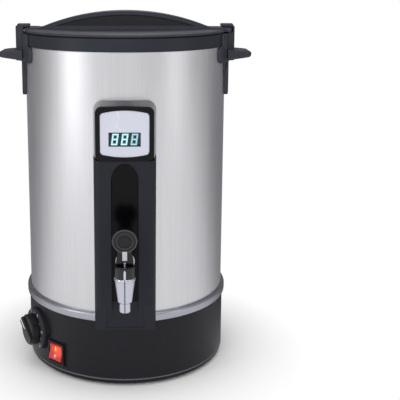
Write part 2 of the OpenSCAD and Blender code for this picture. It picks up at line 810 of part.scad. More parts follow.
module inlet_socket() {
    color("#1a1b1d") difference() {
        turn_to(180) union() {
            out_plate(inlet_seat, inlet_out) translate([-inlet_w / 2, inlet_z - inlet_h / 2])
                round_rect(inlet_w, inlet_h, 4);
            out_block(inlet_hole_w - 0.4, inlet_hole_h - 0.4, well_back - 3, inlet_seat + over, z = inlet_z);
        }
        turn_to(180) out_block(well_w, well_h, well_back, inlet_out + over, z = inlet_z);
        turn_to(180) for (k = [-1:1])
            out_block(4.1, 2.1, well_back - 3 - over, well_back + over, x = 7 * k, z = inlet_z + (k == 0 ? 2 : -2));
        at_inlet_screws() out_rod(inlet_screw_r + seat_gap, inlet_seat - over, inlet_out + over);
    }
}

module inlet_pins() {
    color("#d0c58e") turn_to(180) for (k = [-1:1])
        out_block(4, 2, inlet_pin_back, inlet_out - 4, x = 7 * k, z = inlet_z + (k == 0 ? 2 : -2));
}

module inlet_screws() {
    color("#b9bcc2") at_inlet_screws() translate([0, -inlet_out, 0]) rotate([-90, 0, 0])
        screw(inlet_flange_t + 9, inlet_screw_r, 3, 1.6);
}

// ---------------------------------------------------------------- front column

// plan view of the column, its front edges round
module column_plan(inset = 0) {
    w = col_w - 2 * inset;
    front = col_front - inset;
    r = col_corner_r - inset;
    translate([-w / 2, -front + r]) square([w, front - r - shell_r + 20]);
    translate([-w / 2 + r, -front]) square([w - 2 * r, 2 * r]);
    for (side = [-1, 1]) translate([side * (w / 2 - r), -front + r]) circle(r = r, $fn = 64);
}

// the channel's front view: straight sides and an arched top
module channel_outline(grow = 0) {
    half = channel_w / 2 + grow;
    arch = channel_arch_h + grow;
    low = col_foot - over;
    spring = channel_top - channel_arch_h;
    polygon(concat(
        [[half, low]],
        [for (a = [0:7.5:180]) [half * cos(a), spring + arch * sin(a)]],
        [[-half, low]]
    ));
}

// everything in front of the sloped foot, moved back by inset
module foot_slope_cut(inset = 0) {
    rise = col_slope_top - col_foot;
    back = housing_r + 0.8 - inset;
    translate([-col_w, 0, 0]) rotate([90, 0, 90]) linear_extrude(2 * col_w) polygon([
        [-col_front - 20, col_foot - 20], [-back, col_foot - 20], [-back, col_foot],
        [-(col_front + 1) + inset, col_foot + rise * 1.03], [-col_front - 20, col_foot + rise * 1.03]
    ]);
}

slope_angle = atan2(col_front - housing_r, col_slope_top - col_foot);

// the sunk panel in the sloped foot, wider at its lower end
module foot_panel_cut() {
    low = col_foot + 3;
    translate([0, -(housing_r + 0.8), col_foot]) rotate([slope_angle, 0, 0])
        translate([0, 0, -col_foot]) out_plate(-foot_panel_depth, 8) {
            polygon([
                [-foot_panel_w / 2, low], [foot_panel_w / 2, low], [foot_panel_w / 2 - 1.5, low + col_slope_h - 6],
                [foot_panel_w / 2 - 4.5, low + col_slope_h - 3], [-foot_panel_w / 2 + 4.5, low + col_slope_h - 3],
                [-foot_panel_w / 2 + 1.5, low + col_slope_h - 6]
            ]);
        }
}

column_wall = 2.6;
core_w = col_w - 2 * head_draft - 2 * surround_t - 2;
core_front = col_front - bezel_depth - 2;

module front_column() {
    color("#26282c") difference() {
        union() {
            difference() {
                translate([0, 0, col_foot]) linear_extrude(col_top - col_foot) column_plan();
                out_plate(channel_floor, col_front + 10) channel_outline();
                foot_slope_cut();
                foot_panel_cut();
                // the hollow behind the walls, kept clear of the channel and the slope
                difference() {
                    translate([0, 0, col_foot + column_wall]) linear_extrude(col_top - col_foot - 2 * column_wall)
                        column_plan(column_wall);
                    out_plate(channel_floor - column_wall, col_front + 10) channel_outline(column_wall);
                    foot_slope_cut(column_wall + 1.6);
                    at_column_screws() out_rod(boss_r - 0.8, shell_r - 20, col_front);
                    out_rod(tap_flange_d / 2 + 1, shell_r - 20, col_front, z = tap_z);
                }
            }
            // the core that carries the display's head
            translate([-core_w / 2, -core_front, col_top - over]) cube([core_w, 20, head_h - head_draft - surround_t - 2]);
        }
        translate([0, 0, base_top + seat_gap]) cylinder(r = shell_r + seat_gap, h = shell_h);
        translate([0, 0, col_foot - over]) cylinder(r = housing_r + seat_gap, h = col_lap + over + seat_gap);
        translate([-core_w / 2 + 3, -core_front + 3, col_top - 12]) cube([core_w - 6, 30, head_h + 4]);
        out_rod(lead_hole_r, shell_r - 20, core_front + over, z = col_top + 8);
        at_column_screws() out_rod(screw_r - 0.2 + seat_gap * 3, shell_r - 20, column_screw_seat + 15.5);
        out_rod(shank_d / 2 + 0.3, shell_r - 20, col_front + over, z = tap_z);
        // the bezel's lower bar is let into the column's top
        translate([-bezel_out_w / 2 - 0.1, -col_front - 5, bezel_z0 - 0.1])
            cube([bezel_out_w + 0.2, 5 + bezel_depth - bezel_proud + 0.1, 20]);
    }
}

module column_screws() {
    color("#9a9da3") at_column_screws() translate([0, -column_screw_seat, 0]) rotate([90, 0, 0])
        screw(15, screw_r, screw_head_d / 2, 2.2);
}

// ---------------------------------------------------------------- display head

bezel_out_w = col_w - 2 * head_draft;
bezel_z0 = col_top - 3.5;
bezel_h = head_top - head_draft - 1 - bezel_z0;
bezel_front = col_front + bezel_proud;
panel_w = bezel_out_w - 2 * bezel_w;
panel_h = bezel_h - 2 * bezel_w + 1.6;
panel_z0 = bezel_z0 + bezel_w - 0.8;
bow = 2.2;                                  // how far the panel's upper and lower edges bow outwards

// front view of the head: round upper corners, square lower end
module head_outline(w, h, r) {
    translate([-w / 2, 0]) square([w, h - r]);
    translate([-w / 2 + r, h - 2 * r]) square([w - 2 * r, 2 * r]);
    for (side = [-1, 1]) translate([side * (w / 2 - r), h - r]) circle(r = r, $fn = 64);
}

// the silver-grey hood: wide at the shell, narrower at the bezel
module display_surround() {
    back = shell_r - 8;
    color("#a7a8ac") difference() {
        translate([0, 0, col_top]) hull() {
            out_plate(back, back + 0.5) head_outline(col_w, head_h, head_corner_r + 2);
            out_plate(shell_r + 1, shell_r + 1.5) head_outline(col_w, head_h, head_corner_r + 2);
            out_plate(col_front - 0.5, col_front) head_outline(bezel_out_w + 1.2, head_h - head_draft - 0.4, head_corner_r);
        }
        translate([0, 0, col_top - over]) out_plate(back - over, col_front + over)
            head_outline(bezel_out_w + 0.2, head_h - head_draft - 0.9 + over, head_corner_r - 0.5);
        cylinder(r = shell_r + seat_gap, h = head_top + 10);
    }
}

// front view of the bezel: all four corners round
module bezel_outline(grow) {
    translate([-bezel_out_w / 2 - grow, bezel_z0 - grow])
        round_rect(bezel_out_w + 2 * grow, bezel_h + 2 * grow, head_corner_r - 0.6 + grow);
}

// front view of the panel: bowed upper and lower edges between round corners
module panel_outline(grow) {
    half_w = panel_w / 2 + grow;
    half_h = panel_h / 2 + grow;
    corner = 4 + grow;
    mid = panel_z0 + panel_h / 2;
    edge = half_w - corner;
    corner_up = half_h - bow - corner;
    polygon(concat(
        [for (a = [0:15:75]) [edge + corner * cos(a), mid + corner_up + corner * sin(a)]],
        [for (t = [1:-0.125:-1]) [edge * t, mid + half_h - bow * t * t]],
        [for (a = [105:15:180]) [-edge + corner * cos(a), mid + corner_up + corner * sin(a)]],
        [for (a = [180:15:255]) [-edge + corner * cos(a), mid - corner_up + corner * sin(a)]],
        [for (t = [-1:0.125:1]) [edge * t, mid - half_h + bow * t * t]],
        [for (a = [285:15:360]) [edge + corner * cos(a), mid - corner_up + corner * sin(a)]]
    ));
}

module display_bezel() {
    color("#141518") difference() {
        out_plate(bezel_front - bezel_depth, bezel_front) bezel_outline(0);
        out_plate(bezel_front - bezel_depth - over, bezel_front + over) panel_outline(-1.2);
        out_plate(bezel_front - panel_sunk - panel_t, bezel_front + over) panel_outline(0);
    }
}

panel_back = bezel_front - panel_sunk - panel_t;
window_z = col_top + window_up;

module display_panel() {
    color("#c9cbdb") difference() {
        out_plate(panel_back, panel_back + panel_t) panel_outline(-0.05);
        out_block(window_w, window_h, panel_back - over, panel_back + panel_t + over, z = window_z);
    }
}

module display_window() {
    color("#123040") out_block(window_w - 0.1, window_h - 0.1, panel_back + 0.8, panel_back + panel_t - 0.1, z = window_z);
}

module_t = 3;
module_front = panel_back + 0.3;

module display_module() {
    color("#0d1a22") out_block(window_w - 1.5, window_h - 1.5, module_front - module_t, module_front, z = window_z);
}

// one bar of a digit: a flat bar with pointed ends, from one corner to the next
module bar(length) {
    half = segment_w / 2;
    polygon([
        [half, 0], [segment_w * 0.9, half], [length - segment_w * 0.9, half], [length - half, 0],
        [length - segment_w * 0.9, -half], [segment_w * 0.9, -half]
    ]);
}

// a seven-bar digit with all its bars, upright, its lower left corner at the origin
module digit() {
    reach = (digit_h - segment_w) / 2;
    span = digit_w - segment_w;
    translate([segment_w / 2, segment_w / 2]) {
        for (k = [0:2]) translate([0, k * reach]) bar(span);
        for (x = [0, span]) for (k = [0, 1]) translate([x, k * reach]) rotate(90) bar(reach);
    }
}

module display_digits() {
    color("#bfe9f2") for (k = [-1:1])
        translate([k * digit_pitch, 0, window_z]) rotate([0, digit_lean, 0])
            translate([-digit_w / 2, -module_front, -digit_h / 2]) rotate([90, 0, 0]) linear_extrude(0.3) digit();
}

board_t = 1.6;

module display_board() {
    board_front = module_front - module_t;
    color("#1f5a38") difference() {
        out_block(panel_w - 5, panel_h - 8, board_front - board_t, board_front, z = panel_z0 + panel_h / 2);
        for (sx = [-1, 1]) for (sz = [-1, 1])
            out_rod(1.4, board_front - board_t - over, board_front + over, x = sx * (panel_w / 2 - 6),
                z = panel_z0 + panel_h / 2 + sz * (panel_h / 2 - 7.5));
    }
}

// ---------------------------------------------------------------- tap

shank_r = shank_d / 2;
tap_bore_r = tap_bore_d / 2;
cup_r = cup_d / 2;
rim_z = tap_z - 3;                          // top of the cup's rolled rim
cup_z0 = rim_z - cup_h - 3;
nozzle_z0 = cup_z0 - nozzle_h;
neck_r = bonnet_d / 2 - 1.6;
chamber_r = 6;
seat_z = cup_z0 + 3;
neck_top = tap_z + shank_r - 0.5 + 0.4;
bonnet_top = neck_top + 2.6;
shank_in = pot_r - pot_t - 9;

// the shank, its flange, and the barrel that carries the cup and the nozzle
module tap_body() {
    color("#d9dce4") difference() {
        union() {
            out_rod(shank_r, shank_in, channel_floor + 1, z = tap_z);
            out_rod(shank_r - 0.5, channel_floor, tap_reach, z = tap_z);
            out_rod(tap_flange_d / 2, channel_floor + 0.05, channel_floor + 2.6, z = tap_z);
            translate([0, -tap_reach, 0]) rotate_extrude() polygon([
                [0, nozzle_z0], [nozzle_d / 2 - 0.6, nozzle_z0], [nozzle_d / 2, nozzle_z0 + 0.6],
                [nozzle_d / 2, cup_z0 - 0.6], [cup_low_d / 2 - 0.8, cup_z0], [cup_low_d / 2, cup_z0 + 1],
                [cup_r - 0.8, rim_z - 3.4], [cup_r - 0.2, rim_z - 2.8], [cup_r, rim_z - 1.7],
                [cup_r - 0.3, rim_z - 0.6], [cup_r - 1, rim_z], [neck_r, rim_z], [neck_r, neck_top], [0, neck_top]
            ]);
        }
        out_rod(tap_bore_r, shank_in - over, tap_reach, z = tap_z);
        translate([0, -tap_reach, seat_z]) cylinder(r = chamber_r, h = neck_top);
        translate([0, -tap_reach, nozzle_z0 - over]) cylinder(r = nozzle_d / 2 - 1.8, h = seat_z);
    }
}

nut_deep = 5;
shank_nut_w = shank_d + 5;
washer_r = shank_r + 3.2;
washer_seat = sqrt(pow(pot_r - pot_t, 2) - pow(shank_nut_w / sqrt(3), 2)) - 2;

// a soft washer inside the pot and a spacer between the pot and the shell, both shaped to the walls
module tap_washers() {
    color("#b5483a") difference() {
        union() {
            intersection() {
                out_rod(washer_r, washer_seat, pot_r, z = tap_z);
                cylinder(r = pot_r - pot_t - 0.02, h = tap_z * 2);
            }
            intersection() {
                out_rod(washer_r, pot_r - 6, shell_r, z = tap_z);
                tube(shell_ri - 0.02, pot_r + 0.02, tap_z - 20, tap_z + 20);
            }
        }
        out_rod(shank_r + seat_gap, washer_seat - over, shell_r + over, z = tap_z);
    }
}

module shank_nut() {
    color("#c9ccd2") translate([0, -(washer_seat - nut_deep), tap_z]) rotate([90, 0, 0])
        hex_nut(shank_nut_w, shank_r + seat_gap, nut_deep);
}

pivot_z = bonnet_top + 4.5;
ear_in = 3.6;
ear_out = 6;
ear_r = 3;
plug_bottom = tap_z + shank_r - 4.8;

// side view of an ear, down to the left: its front is cut at 45 degrees, which the lever's wall comes down to
module ear_side() {
    foot = pivot_z - bonnet_top + 0.5;
    circle(r = ear_r);
    polygon([
        [0, ear_r], [ear_r / sqrt(2), -ear_r / sqrt(2)], [foot, foot - ear_r * sqrt(2)], [foot, ear_r + 1.5]
    ]);
}

// the black cap over the barrel's neck, with two ears for the lever
module tap_bonnet() {
    color("#1b1c1f") translate([0, -tap_reach, 0]) difference() {
        union() {
            difference() {
                union() {
                    translate([0, 0, rim_z + 0.05]) cylinder(r = bonnet_d / 2, h = bonnet_top - rim_z - 0.85);
                    translate([0, 0, bonnet_top - 0.9]) cylinder(r = bonnet_d / 2 - 0.8, h = 0.9);
                }
                translate([0, 0, rim_z - over]) cylinder(r = neck_r + seat_gap, h = neck_top + 0.05 - rim_z + over);
            }
            translate([0, 0, plug_bottom]) cylinder(r = chamber_r - seat_gap, h = neck_top - plug_bottom + over);
            for (side = [-1, 1]) translate([side * (ear_in + ear_out) / 2, 0, 0]) rotate([0, 90, 0])
                translate([-pivot_z, 0, -(ear_out - ear_in) / 2]) linear_extrude(ear_out - ear_in) ear_side();
        }
        translate([0, 0, plug_bottom - over]) cylinder(r = stem_d / 2 + running_gap, h = 30);
        translate([-20, 0, pivot_z]) rotate([0, 90, 0]) cylinder(r = pivot_d / 2 + running_gap, h = 40);
        translate([0, 20, tap_z]) rotate([90, 0, 0]) cylinder(r = shank_r - 0.5 + 0.2, h = 20);
        translate([0, -bonnet_d / 2, rim_z]) cylinder(r = clip_r + 0.05, h = bonnet_top - rim_z - 1.9);
    }
}

clip_r = 1.3;

// the bright pin that locks the cap to the barrel in front
module bonnet_clip() {
    color("#d9dce4") translate([0, -tap_reach - bonnet_d / 2, rim_z]) {
        cylinder(r = clip_r, h = bonnet_top - rim_z - 3);
        translate([0, 0, bonnet_top - rim_z - 3]) cylinder(r = clip_r - 0.4, h = 1);
    }
}

bar_r = 0.8;
bar_reach = 5.2;
bar_angle = 25;                             // how far the lifting bar hangs below the pivot's height, degrees
bar_y = bar_reach * cos(bar_angle);
bar_z = -bar_reach * sin(bar_angle);
tab_z = pivot_z + bar_z + bar_r + 0.2;
tab_t = 1.5;
disc_r = chamber_r - 0.8;
disc_h = 5;

// the stem through the bonnet, and the tab behind it that the lever lifts
module valve_stem() {
    color("#b9bcc2") translate([0, -tap_reach, 0]) {
        translate([0, 0, seat_z + 2]) cylinder(r = stem_d / 2, h = tab_z + tab_t - seat_z - 2);
        translate([0, 0, seat_z + disc_h]) cylinder(r = disc_r - 0.4, h = 1);
        translate([-2.9, -stem_d / 2, tab_z]) cube([5.8, stem_d / 2 + bar_y + 1.9, tab_t]);
    }
}

module valve_disc() {
    color("#b5483a") translate([0, -tap_reach, 0]) difference() {
        translate([0, 0, seat_z]) cylinder(r = disc_r, h = disc_h);
        translate([0, 0, seat_z + 2]) cylinder(r = stem_d / 2, h = disc_h);
    }
}

spring_r = chamber_r - 1.9;
spring_low = seat_z + disc_h + 1;
spring_high = plug_bottom;
spring_rings = 8;
spring_rise = spring_high - spring_low - spring_wire_d - 0.1;
spring_path = [for (k = [0:spring_turns * spring_rings]) let (a = 360 * k / spring_rings)
    [spring_r * cos(a), spring_r * sin(a),
        spring_low + 0.05 + spring_wire_d / 2 + spring_rise * k / (spring_turns * spring_rings)]];
echo(spring_gap = spring_rise / spring_turns - spring_wire_d);

module valve_spring() {
    color("#9a9da3") translate([0, -tap_reach, 0])
        swept_tube(spring_path, [for (p = spring_path) [0, 0, 1]], spring_wire_d / 2, 6);
}

// front view of the lever about its pivot: a flared foot, a neck and the round pad
module lever_front() {
    foot = lever_foot_w / 2;
    neck = lever_neck_w / 2;
    join = pad_up - 0.78 * pad_d / 2;
    sweep_up = [for (k = [0:8]) let (t = k / 8) [foot - (foot - neck) * (1 - cos(180 * min(1, t * 1.25))) / 2,
        -4.2 + (join + 4.2) * t]];
    polygon(concat([for (p = sweep_up) p], [for (k = [8:-1:0]) [-sweep_up[k][0], sweep_up[k][1]]]));
    translate([0, pad_up]) circle(r = pad_d / 2);
}

// side view of the lever: -Y is forward, Z is up, both from the pivot
module lever_side() {
    top = pad_up + pad_d / 2 + 1;
    lean = tan(lever_lean);
    circle(r = 4.2);
    polygon([
        [-4.2, 0], [-4.2 - top * lean, top], [-0.6 - top * lean, top], [-0.6 - 12 * lean, 12], [3, 8.4], [5.6, 3.5],
        [6.2, 0], [6.2, -2.4], [4.4, -4.2], [0, -4.2]
    ]);
}

// tilts what lies on the lever's face to the face's lean
module on_lever_face() {
    translate([0, -4.2, 0]) rotate([lever_lean, 0, 0]) children();
}

module tap_lever() {
    color("#1d1e21") translate([0, -tap_reach, pivot_z]) {
        difference() {
            intersection() {
                out_plate(-20, 30) lever_front();
                translate([-30, 0, 0]) rotate([90, 0, 90]) linear_extrude(60) lever_side();
            }
            translate([-ear_out - move_gap, -ear_r - move_gap, -10]) cube([2 * (ear_out + move_gap), 20, 17.2]);
            translate([-stem_d / 2 - move_gap, -10, -10]) cube([stem_d + 2 * move_gap, 10, 9.4]);
            rotate([0, 90, 0]) cylinder(r = pivot_d / 2 + running_gap, h = 40, center = true);
            on_lever_face() out_plate(-0.7, 5) difference() {
                translate([0, pad_up]) circle(r = pad_d / 2 - 2);
                translate([0, pad_up]) circle(r = pad_d / 2 - 3.4);
            }
            on_lever_face() out_plate(-0.7, 5) difference() {
                translate([0, pad_up]) circle(r = pad_d / 2 - 6);
                translate([0, pad_up]) circle(r = pad_d / 2 - 7.4);
            }
            on_lever_face() out_plate(-0.5, 5) translate([-2.3, 1.6]) square([4.6, 9.4]);
        }
        translate([-ear_out - move_gap - 1, bar_y, bar_z]) rotate([0, 90, 0])
            cylinder(r = bar_r, h = 2 * (ear_out + move_gap + 1));
    }
}

module lever_pins() {
    color("#b9bcc2") translate([0, -tap_reach, pivot_z]) for (side = [-1, 1])
        rotate([0, side * 90, 0]) translate([0, 0, ear_in - 0.2])
            cylinder(r = pivot_d / 2, h = lever_foot_w / 2 - ear_in - 0.3);
}

module lever_badge() {
    color("#c6c8cc") translate([0, -tap_reach, pivot_z]) on_lever_face()
        out_plate(-0.5, 0.15) translate([-2.3, 1.6]) square([4.6, 9.4]);
}

// ---------------------------------------------------------------- handles

grip_top = collar_top - grip_drop;
root_z0 = shell_top - root_drop;
strap_z0 = root_z0 - strap_len;
post_top = collar_top + post_rise;
lug_z0 = collar_top + 0.3;
hook_z0 = lug_z0 + lug_t + move_gap + 0.1;
slot_z0 = collar_top - 0.3;
lug_out = collar_r + lug_reach;
post_in = collar_r + 0.6;

// front view of the root flange, the part on the collar above it and the strap below it
module root_outline() {
    upper_w = root_w - 16;
    upper_h = collar_top - 1 - shell_top;
    translate([-root_w / 2, root_z0]) round_rect(root_w, root_drop + 1.5, 7);
    translate([-upper_w / 2, shell_top - 8]) round_rect(upper_w, upper_h + 8, 4);
}

module strap_outline() {
    low_w = strap_w - 2 * strap_taper;
    polygon([
        [-strap_w / 2, root_z0 + 4], [-low_w / 2 - 0.4, strap_z0 + 4], [-low_w / 2 + 3, strap_z0],
        [low_w / 2 - 3, strap_z0], [low_w / 2 + 0.4, strap_z0 + 4], [strap_w / 2, root_z0 + 4]
    ]);
}

// side view of the grip: distance from the urn's axis, height
module grip_side() {
    polygon([
        [shell_r + 1, grip_top - grip_t - 4], [shell_r + 9, grip_top - grip_t - 2.2],
        [grip_reach - 2, grip_top - grip_t], [grip_reach, grip_top - grip_t + 2], [grip_reach, grip_top - 2],
        [grip_reach - 1.6, grip_top - 0.6], [shell_r + 10, grip_top + 0.6], [shell_r + 1, grip_top + 2.4]
    ]);
}

// plan view of the grip: round outer corners, flared where it leaves the shell
module grip_plan() {
    corner = 9;
    reach = grip_reach;
    half = grip_w / 2;
    translate([-half + corner, -reach]) square([2 * (half - corner), 30]);
    for (side = [-1, 1]) translate([side * (half - corner), -reach + corner]) circle(r = corner, $fn = 64);
    polygon([[-half, -reach + corner], [half, -reach + corner], [half + 3, -shell_r + 4], [-half - 3, -shell_r + 4]]);
}

// one handle, pointing to the front: root, strap, grip and the post with its hook
module handle() {
    difference() {
        union() {
            intersection() {
                tube(shell_r + root_t, shell_r - 5, root_z0 - 1, collar_top);
                out_plate(shell_r - 60, shell_r + 20) root_outline();
            }
            intersection() {
                tube(shell_r + strap_t, shell_r - 5, strap_z0 - 1, root_z0 + 8);
                out_plate(shell_r - 60, shell_r + 20) strap_outline();
            }
            intersection() {
                translate([-60, 0, 0]) rotate([90, 0, 90]) linear_extrude(120) mirror([1, 0]) grip_side();
                translate([0, 0, grip_top - 40]) linear_extrude(80) grip_plan();
            }
            difference() {
                out_plate(shell_r, post_reach) translate([-post_w / 2, root_z0]) square([post_w, post_top - root_z0]);
                translate([0, -post_reach, post_top]) rotate([45, 0, 0]) cube([post_w + 2, 3.6, 3.6], center = true);
            }
            // the hook that overhangs the lid's rim
            out_plate(collar_r - 5, post_reach - 2) translate([-post_w / 2, hook_z0])
                square([post_w, post_top - hook_z0]);
        }
        // room for the shell, the collar and the lid
        translate([0, 0, strap_z0 - 5]) cylinder(r = shell_r + seat_gap, h = shell_top - strap_z0 + 5);
        translate([0, 0, shell_top - over]) cylinder(r = collar_r + seat_gap, h = collar_h + over - 0.9);
        translate([0, 0, collar_top - 1]) cylinder(r = post_in, h = hook_z0 - collar_top + 1);
        // the slot of the bayonet, closed at one end
        translate([-post_w / 2 - over, -lug_out - 0.6, slot_z0])
            cube([post_w / 2 + over + lug_w / 2 + 0.5, 20, hook_z0 - slot_z0]);
        for (side = [-1, 1]) turn_to(side * handle_screw_az)
            out_rod(screw_r, shell_r - 5, shell_r + root_t - 1, z = handle_screw_z);
        out_rod(screw_r, shell_r - 5, shell_r + strap_t - 1, z = strap_screw_z);
    }
}

module handle_right() {
    color("#2e3136") turn_to(90) handle();
}

module handle_left() {
    color("#2e3136") turn_to(-90) handle();
}

handle_screw_head_h = 1.8;
strap_screw_seat = sqrt(pow(shell_ri, 2) - pow(screw_head_d / 2, 2)) - 0.05;
root_screw_seat = sqrt(pow(shell_ri - seat_gap - collar_spigot_t, 2) - pow(screw_head_d / 2, 2)) - 0.05;

module handle_screws() {
    color("#9a9da3") {
        at_root_screws() translate([0, -root_screw_seat, 0]) rotate([90, 0, 0])
            screw(shell_r + root_t - 1.4 - root_screw_seat, screw_r - 0.05, screw_head_d / 2, handle_screw_head_h);
        at_strap_screws() translate([0, -strap_screw_seat, 0]) rotate([90, 0, 0])
            screw(shell_r + strap_t - 1.4 - strap_screw_seat, screw_r - 0.05, screw_head_d / 2, handle_screw_head_h);
    }
}

// ---------------------------------------------------------------- lid

lid_r = collar_r;
ridge_rise = ridge_h - shoulder_h;
ridge_R = (pow(ridge_half, 2) + pow(ridge_rise, 2)) / (2 * ridge_rise);
lug_turn = asin((post_w / 2 + lug_w / 2 + move_gap) / lug_out);   // how far the lid turns to lock
lid_screw_xs = [-56, 56];

// front view of the ridge: an arc over the shoulders, cut off below the lid's disc
module ridge_front(inset = 0) {
    intersection() {
        translate([0, collar_top + ridge_h - ridge_R]) circle(r = ridge_R - inset, $fn = 720);
        translate([-ridge_half * 1.05, collar_top + (inset > 0 ? -over : 0.5)])
            square([ridge_half * 2.1, ridge_h + over]);
    }
}

module ridge_bar(w, inset, low) {
    intersection() {
        translate([0, w / 2, 0]) rotate([90, 0, 0]) linear_extrude(w) ridge_front(inset);
        translate([-lid_r, -lid_r, low]) cube([2 * lid_r, 2 * lid_r, 60]);
    }
}

module lid() {
    color("#33363e") difference() {
        union() {
            rotate_extrude() polygon([
                [0, collar_top], [lid_r - 0.9, collar_top], [lid_r, collar_top + 0.8],
                [lid_r - 0.3, collar_top + lid_t - 1.2], [lid_r - 1.6, collar_top + lid_t - 0.3],
                [lid_r - 4, collar_top + lid_t], [0, collar_top + lid_t]
            ]);
            intersection() {
                translate([-lid_r, -ridge_w / 2, collar_top + 0.5]) cube([2 * lid_r, ridge_w, shoulder_h - 0.5]);
                cylinder(r = lid_r - 0.6, h = collar_top + 30);
            }
            ridge_bar(ridge_w - 1.6, 0, collar_top + 0.5);
            ridge_bar(ridge_w, 0.8, collar_top + 0.5);
            for (side = [0, 180]) rotate([0, 0, side - lug_turn]) intersection() {
                translate([lid_r - 12, -lug_w / 2, lug_z0]) cube([20, lug_w, lug_t]);
                cylinder(r = lug_out, h = collar_top + 30);
            }
        }
        difference() {
            ridge_bar(ridge_w - 2 * ridge_wall, ridge_wall, collar_top - over);
            for (x = lid_screw_xs) translate([x, 0, collar_top - 2]) cylinder(r = boss_r, h = 40);
        }
        for (x = lid_screw_xs) translate([x, 0, collar_top - over]) cylinder(r = screw_r, h = over + 9);
    }
}

liner_r = pot_r - pot_t - 1.4;
liner_t = 1.2;

module lid_liner() {
    color("#c4c6ca") difference() {
        union() {
            translate([0, 0, collar_top - liner_t]) cylinder(r = liner_r, h = liner_t);
            tube(liner_r, liner_r - liner_t, collar_top - liner_drop, collar_top);
        }
        for (x = lid_screw_xs) translate([x, 0, collar_top - 5]) cylinder(r = screw_hole_r, h = 10);
    }
}

module lid_screws() {
    color("#b9bcc2") for (x = lid_screw_xs) translate([x, 0, collar_top - liner_t]) screw(9, screw_r - 0.05);
}

seal_in = liner_r + 0.5;

// a soft ring between the pot's flange and the lid
module lid_seal() {
    color("#d8d5cc") rotate_extrude() polygon([
        [seal_in, pot_rim_z], [seal_in + seal_w - 0.6, pot_rim_z], [seal_in + seal_w, pot_rim_z + 0.6],
        [seal_in + seal_w, pot_rim_z + 2], [seal_in + seal_w - 1, pot_rim_z + 2.5],
        [seal_in + seal_w, pot_rim_z + 3], [seal_in + seal_w, collar_top - 0.6],
        [seal_in + seal_w - 0.6, collar_top], [seal_in, collar_top]
    ]);
}

// ---------------------------------------------------------------- sensors and leads

bulb_r = 3;
bulb_len = 60;

// the thermostat's bulb below the plate and its thin capillary down to the thermostat
module thermostat_bulb() {
    color("#b5764a") {
        turn_to(knob_az) translate([-bulb_len / 2, -40, plate_bottom - bulb_r]) rotate([0, 90, 0])
            cylinder(r = bulb_r, h = bulb_len);
        turn_to(knob_az) swept_tube(capillary_path, [for (p = capillary_path) [0, 1, 0.3]], 1, 8);
    }
}

capillary_stops = [
    [bulb_len / 2 - 0.5, -40, plate_bottom - bulb_r], [bulb_len / 2 + 6, -42, plate_bottom - bulb_r - 2],
    [bulb_len / 2 + 2, -60, plate_bottom - 12], [8, -69, shield_z + 6], [1, -70, shield_z - 4],
    [0, -74, knob_z + 36], [2, -82, knob_z + 24], [2, -84, knob_z + thermostat_w / 2 + 0.3]
];
capillary_path = curve(capillary_stops, 5);

probe_r = 3;

// a small sensor clipped to the outside of the pot
module temperature_probe() {
    color("#a5a8ad") turn_to(probe_az) {
        translate([0, -(pot_r + probe_r + 0.3), probe_z]) cylinder(r = probe_r, h = 24);
        translate([-6, -(pot_r + probe_r + 0.3), probe_z + 8]) cube([12, 2.4, 8]);
    }
}

lead_r = 1.3;
lead_gap = 0.6;                             // between a lead's end and the pin that it is crimped to
function at_azimuth(az, r, z) = [r * sin(az), -r * cos(az), z];
inlet_pin_back = well_back - 10;
block_front = block_y + block_d / 2 - 3;
block_hole_z = cover_top + block_h / 2;

// the insulated leads, each from one terminal to the next
lead_stops = [
    // inlet to switch
    [
        [-7, inlet_pin_back - lead_gap, inlet_z - 2], [-7, inlet_pin_back - 4, inlet_z - 2], [-8.5, 82, 36],
        [-22, 66, 30], [-44, 16, 24], [-44, -24, 22], [-48, -52, 24],
        at_azimuth(switch_az, switch_back - 16, switch_z), at_azimuth(switch_az, switch_back - 8, switch_z)
    ],
    // inlet to terminal block
    [
        [7, inlet_pin_back - lead_gap, inlet_z - 2], [7, inlet_pin_back - 4, inlet_z - 2], [8, 82, 35],
        [10, 70, 24], [11, 60, 15], [11, 52, block_hole_z],
        [11, block_front, block_hole_z]
    ],
    // terminal block to heating element
    [
        [0, block_front, block_hole_z], [0, 54, 14], [4, 64, 30], [14, 64, 60],
        at_azimuth(180 - element_gap_deg, element_ring_r, element_end_z - 20),
        at_azimuth(180 - element_gap_deg, element_ring_r, element_end_z - 8)
    ]
];

module internal_leads() {
    color("#8c2f28") for (stops = lead_stops) {
        path = curve(stops, 4);
        swept_tube(path, [for (p = path) [0.3, 0.2, 1]], lead_r, 8);
    }
}

// ---------------------------------------------------------------- what is drawn

rubber_feet();
bottom_cover();
bottom_screws();
base_housing();
trim_ring();
ring_screws();
outer_shell();
top_collar();
inner_pot();
heating_plate();
heating_element();
pot_studs();
plate_nuts();
heat_shield();
thermal_cutout();
terminal_block();
thermostat_body();
thermostat_bulb();
internal_leads();
inlet_socket();
inlet_pins();
inlet_screws();
front_column();
column_screws();
display_surround();
display_bezel();
display_panel();
display_window();
display_module();
display_digits();
display_board();
tap_body();
tap_washers();
shank_nut();
tap_bonnet();
bonnet_clip();
valve_stem();
valve_disc();
valve_spring();
tap_lever();
lever_pins();
lever_badge();
handle_right();
handle_left();
handle_screws();
dial_plate();
dial_nut();
control_knob();
knob_pointer();
thermostat_spindle();
switch_housing();
switch_rocker();
lid();
lid_liner();
lid_screws();
lid_seal();
temperature_probe();
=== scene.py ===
import json
from math import cos, pi, radians, sin, sqrt, tan

import bmesh
import bpy
from mathutils import Matrix, Vector

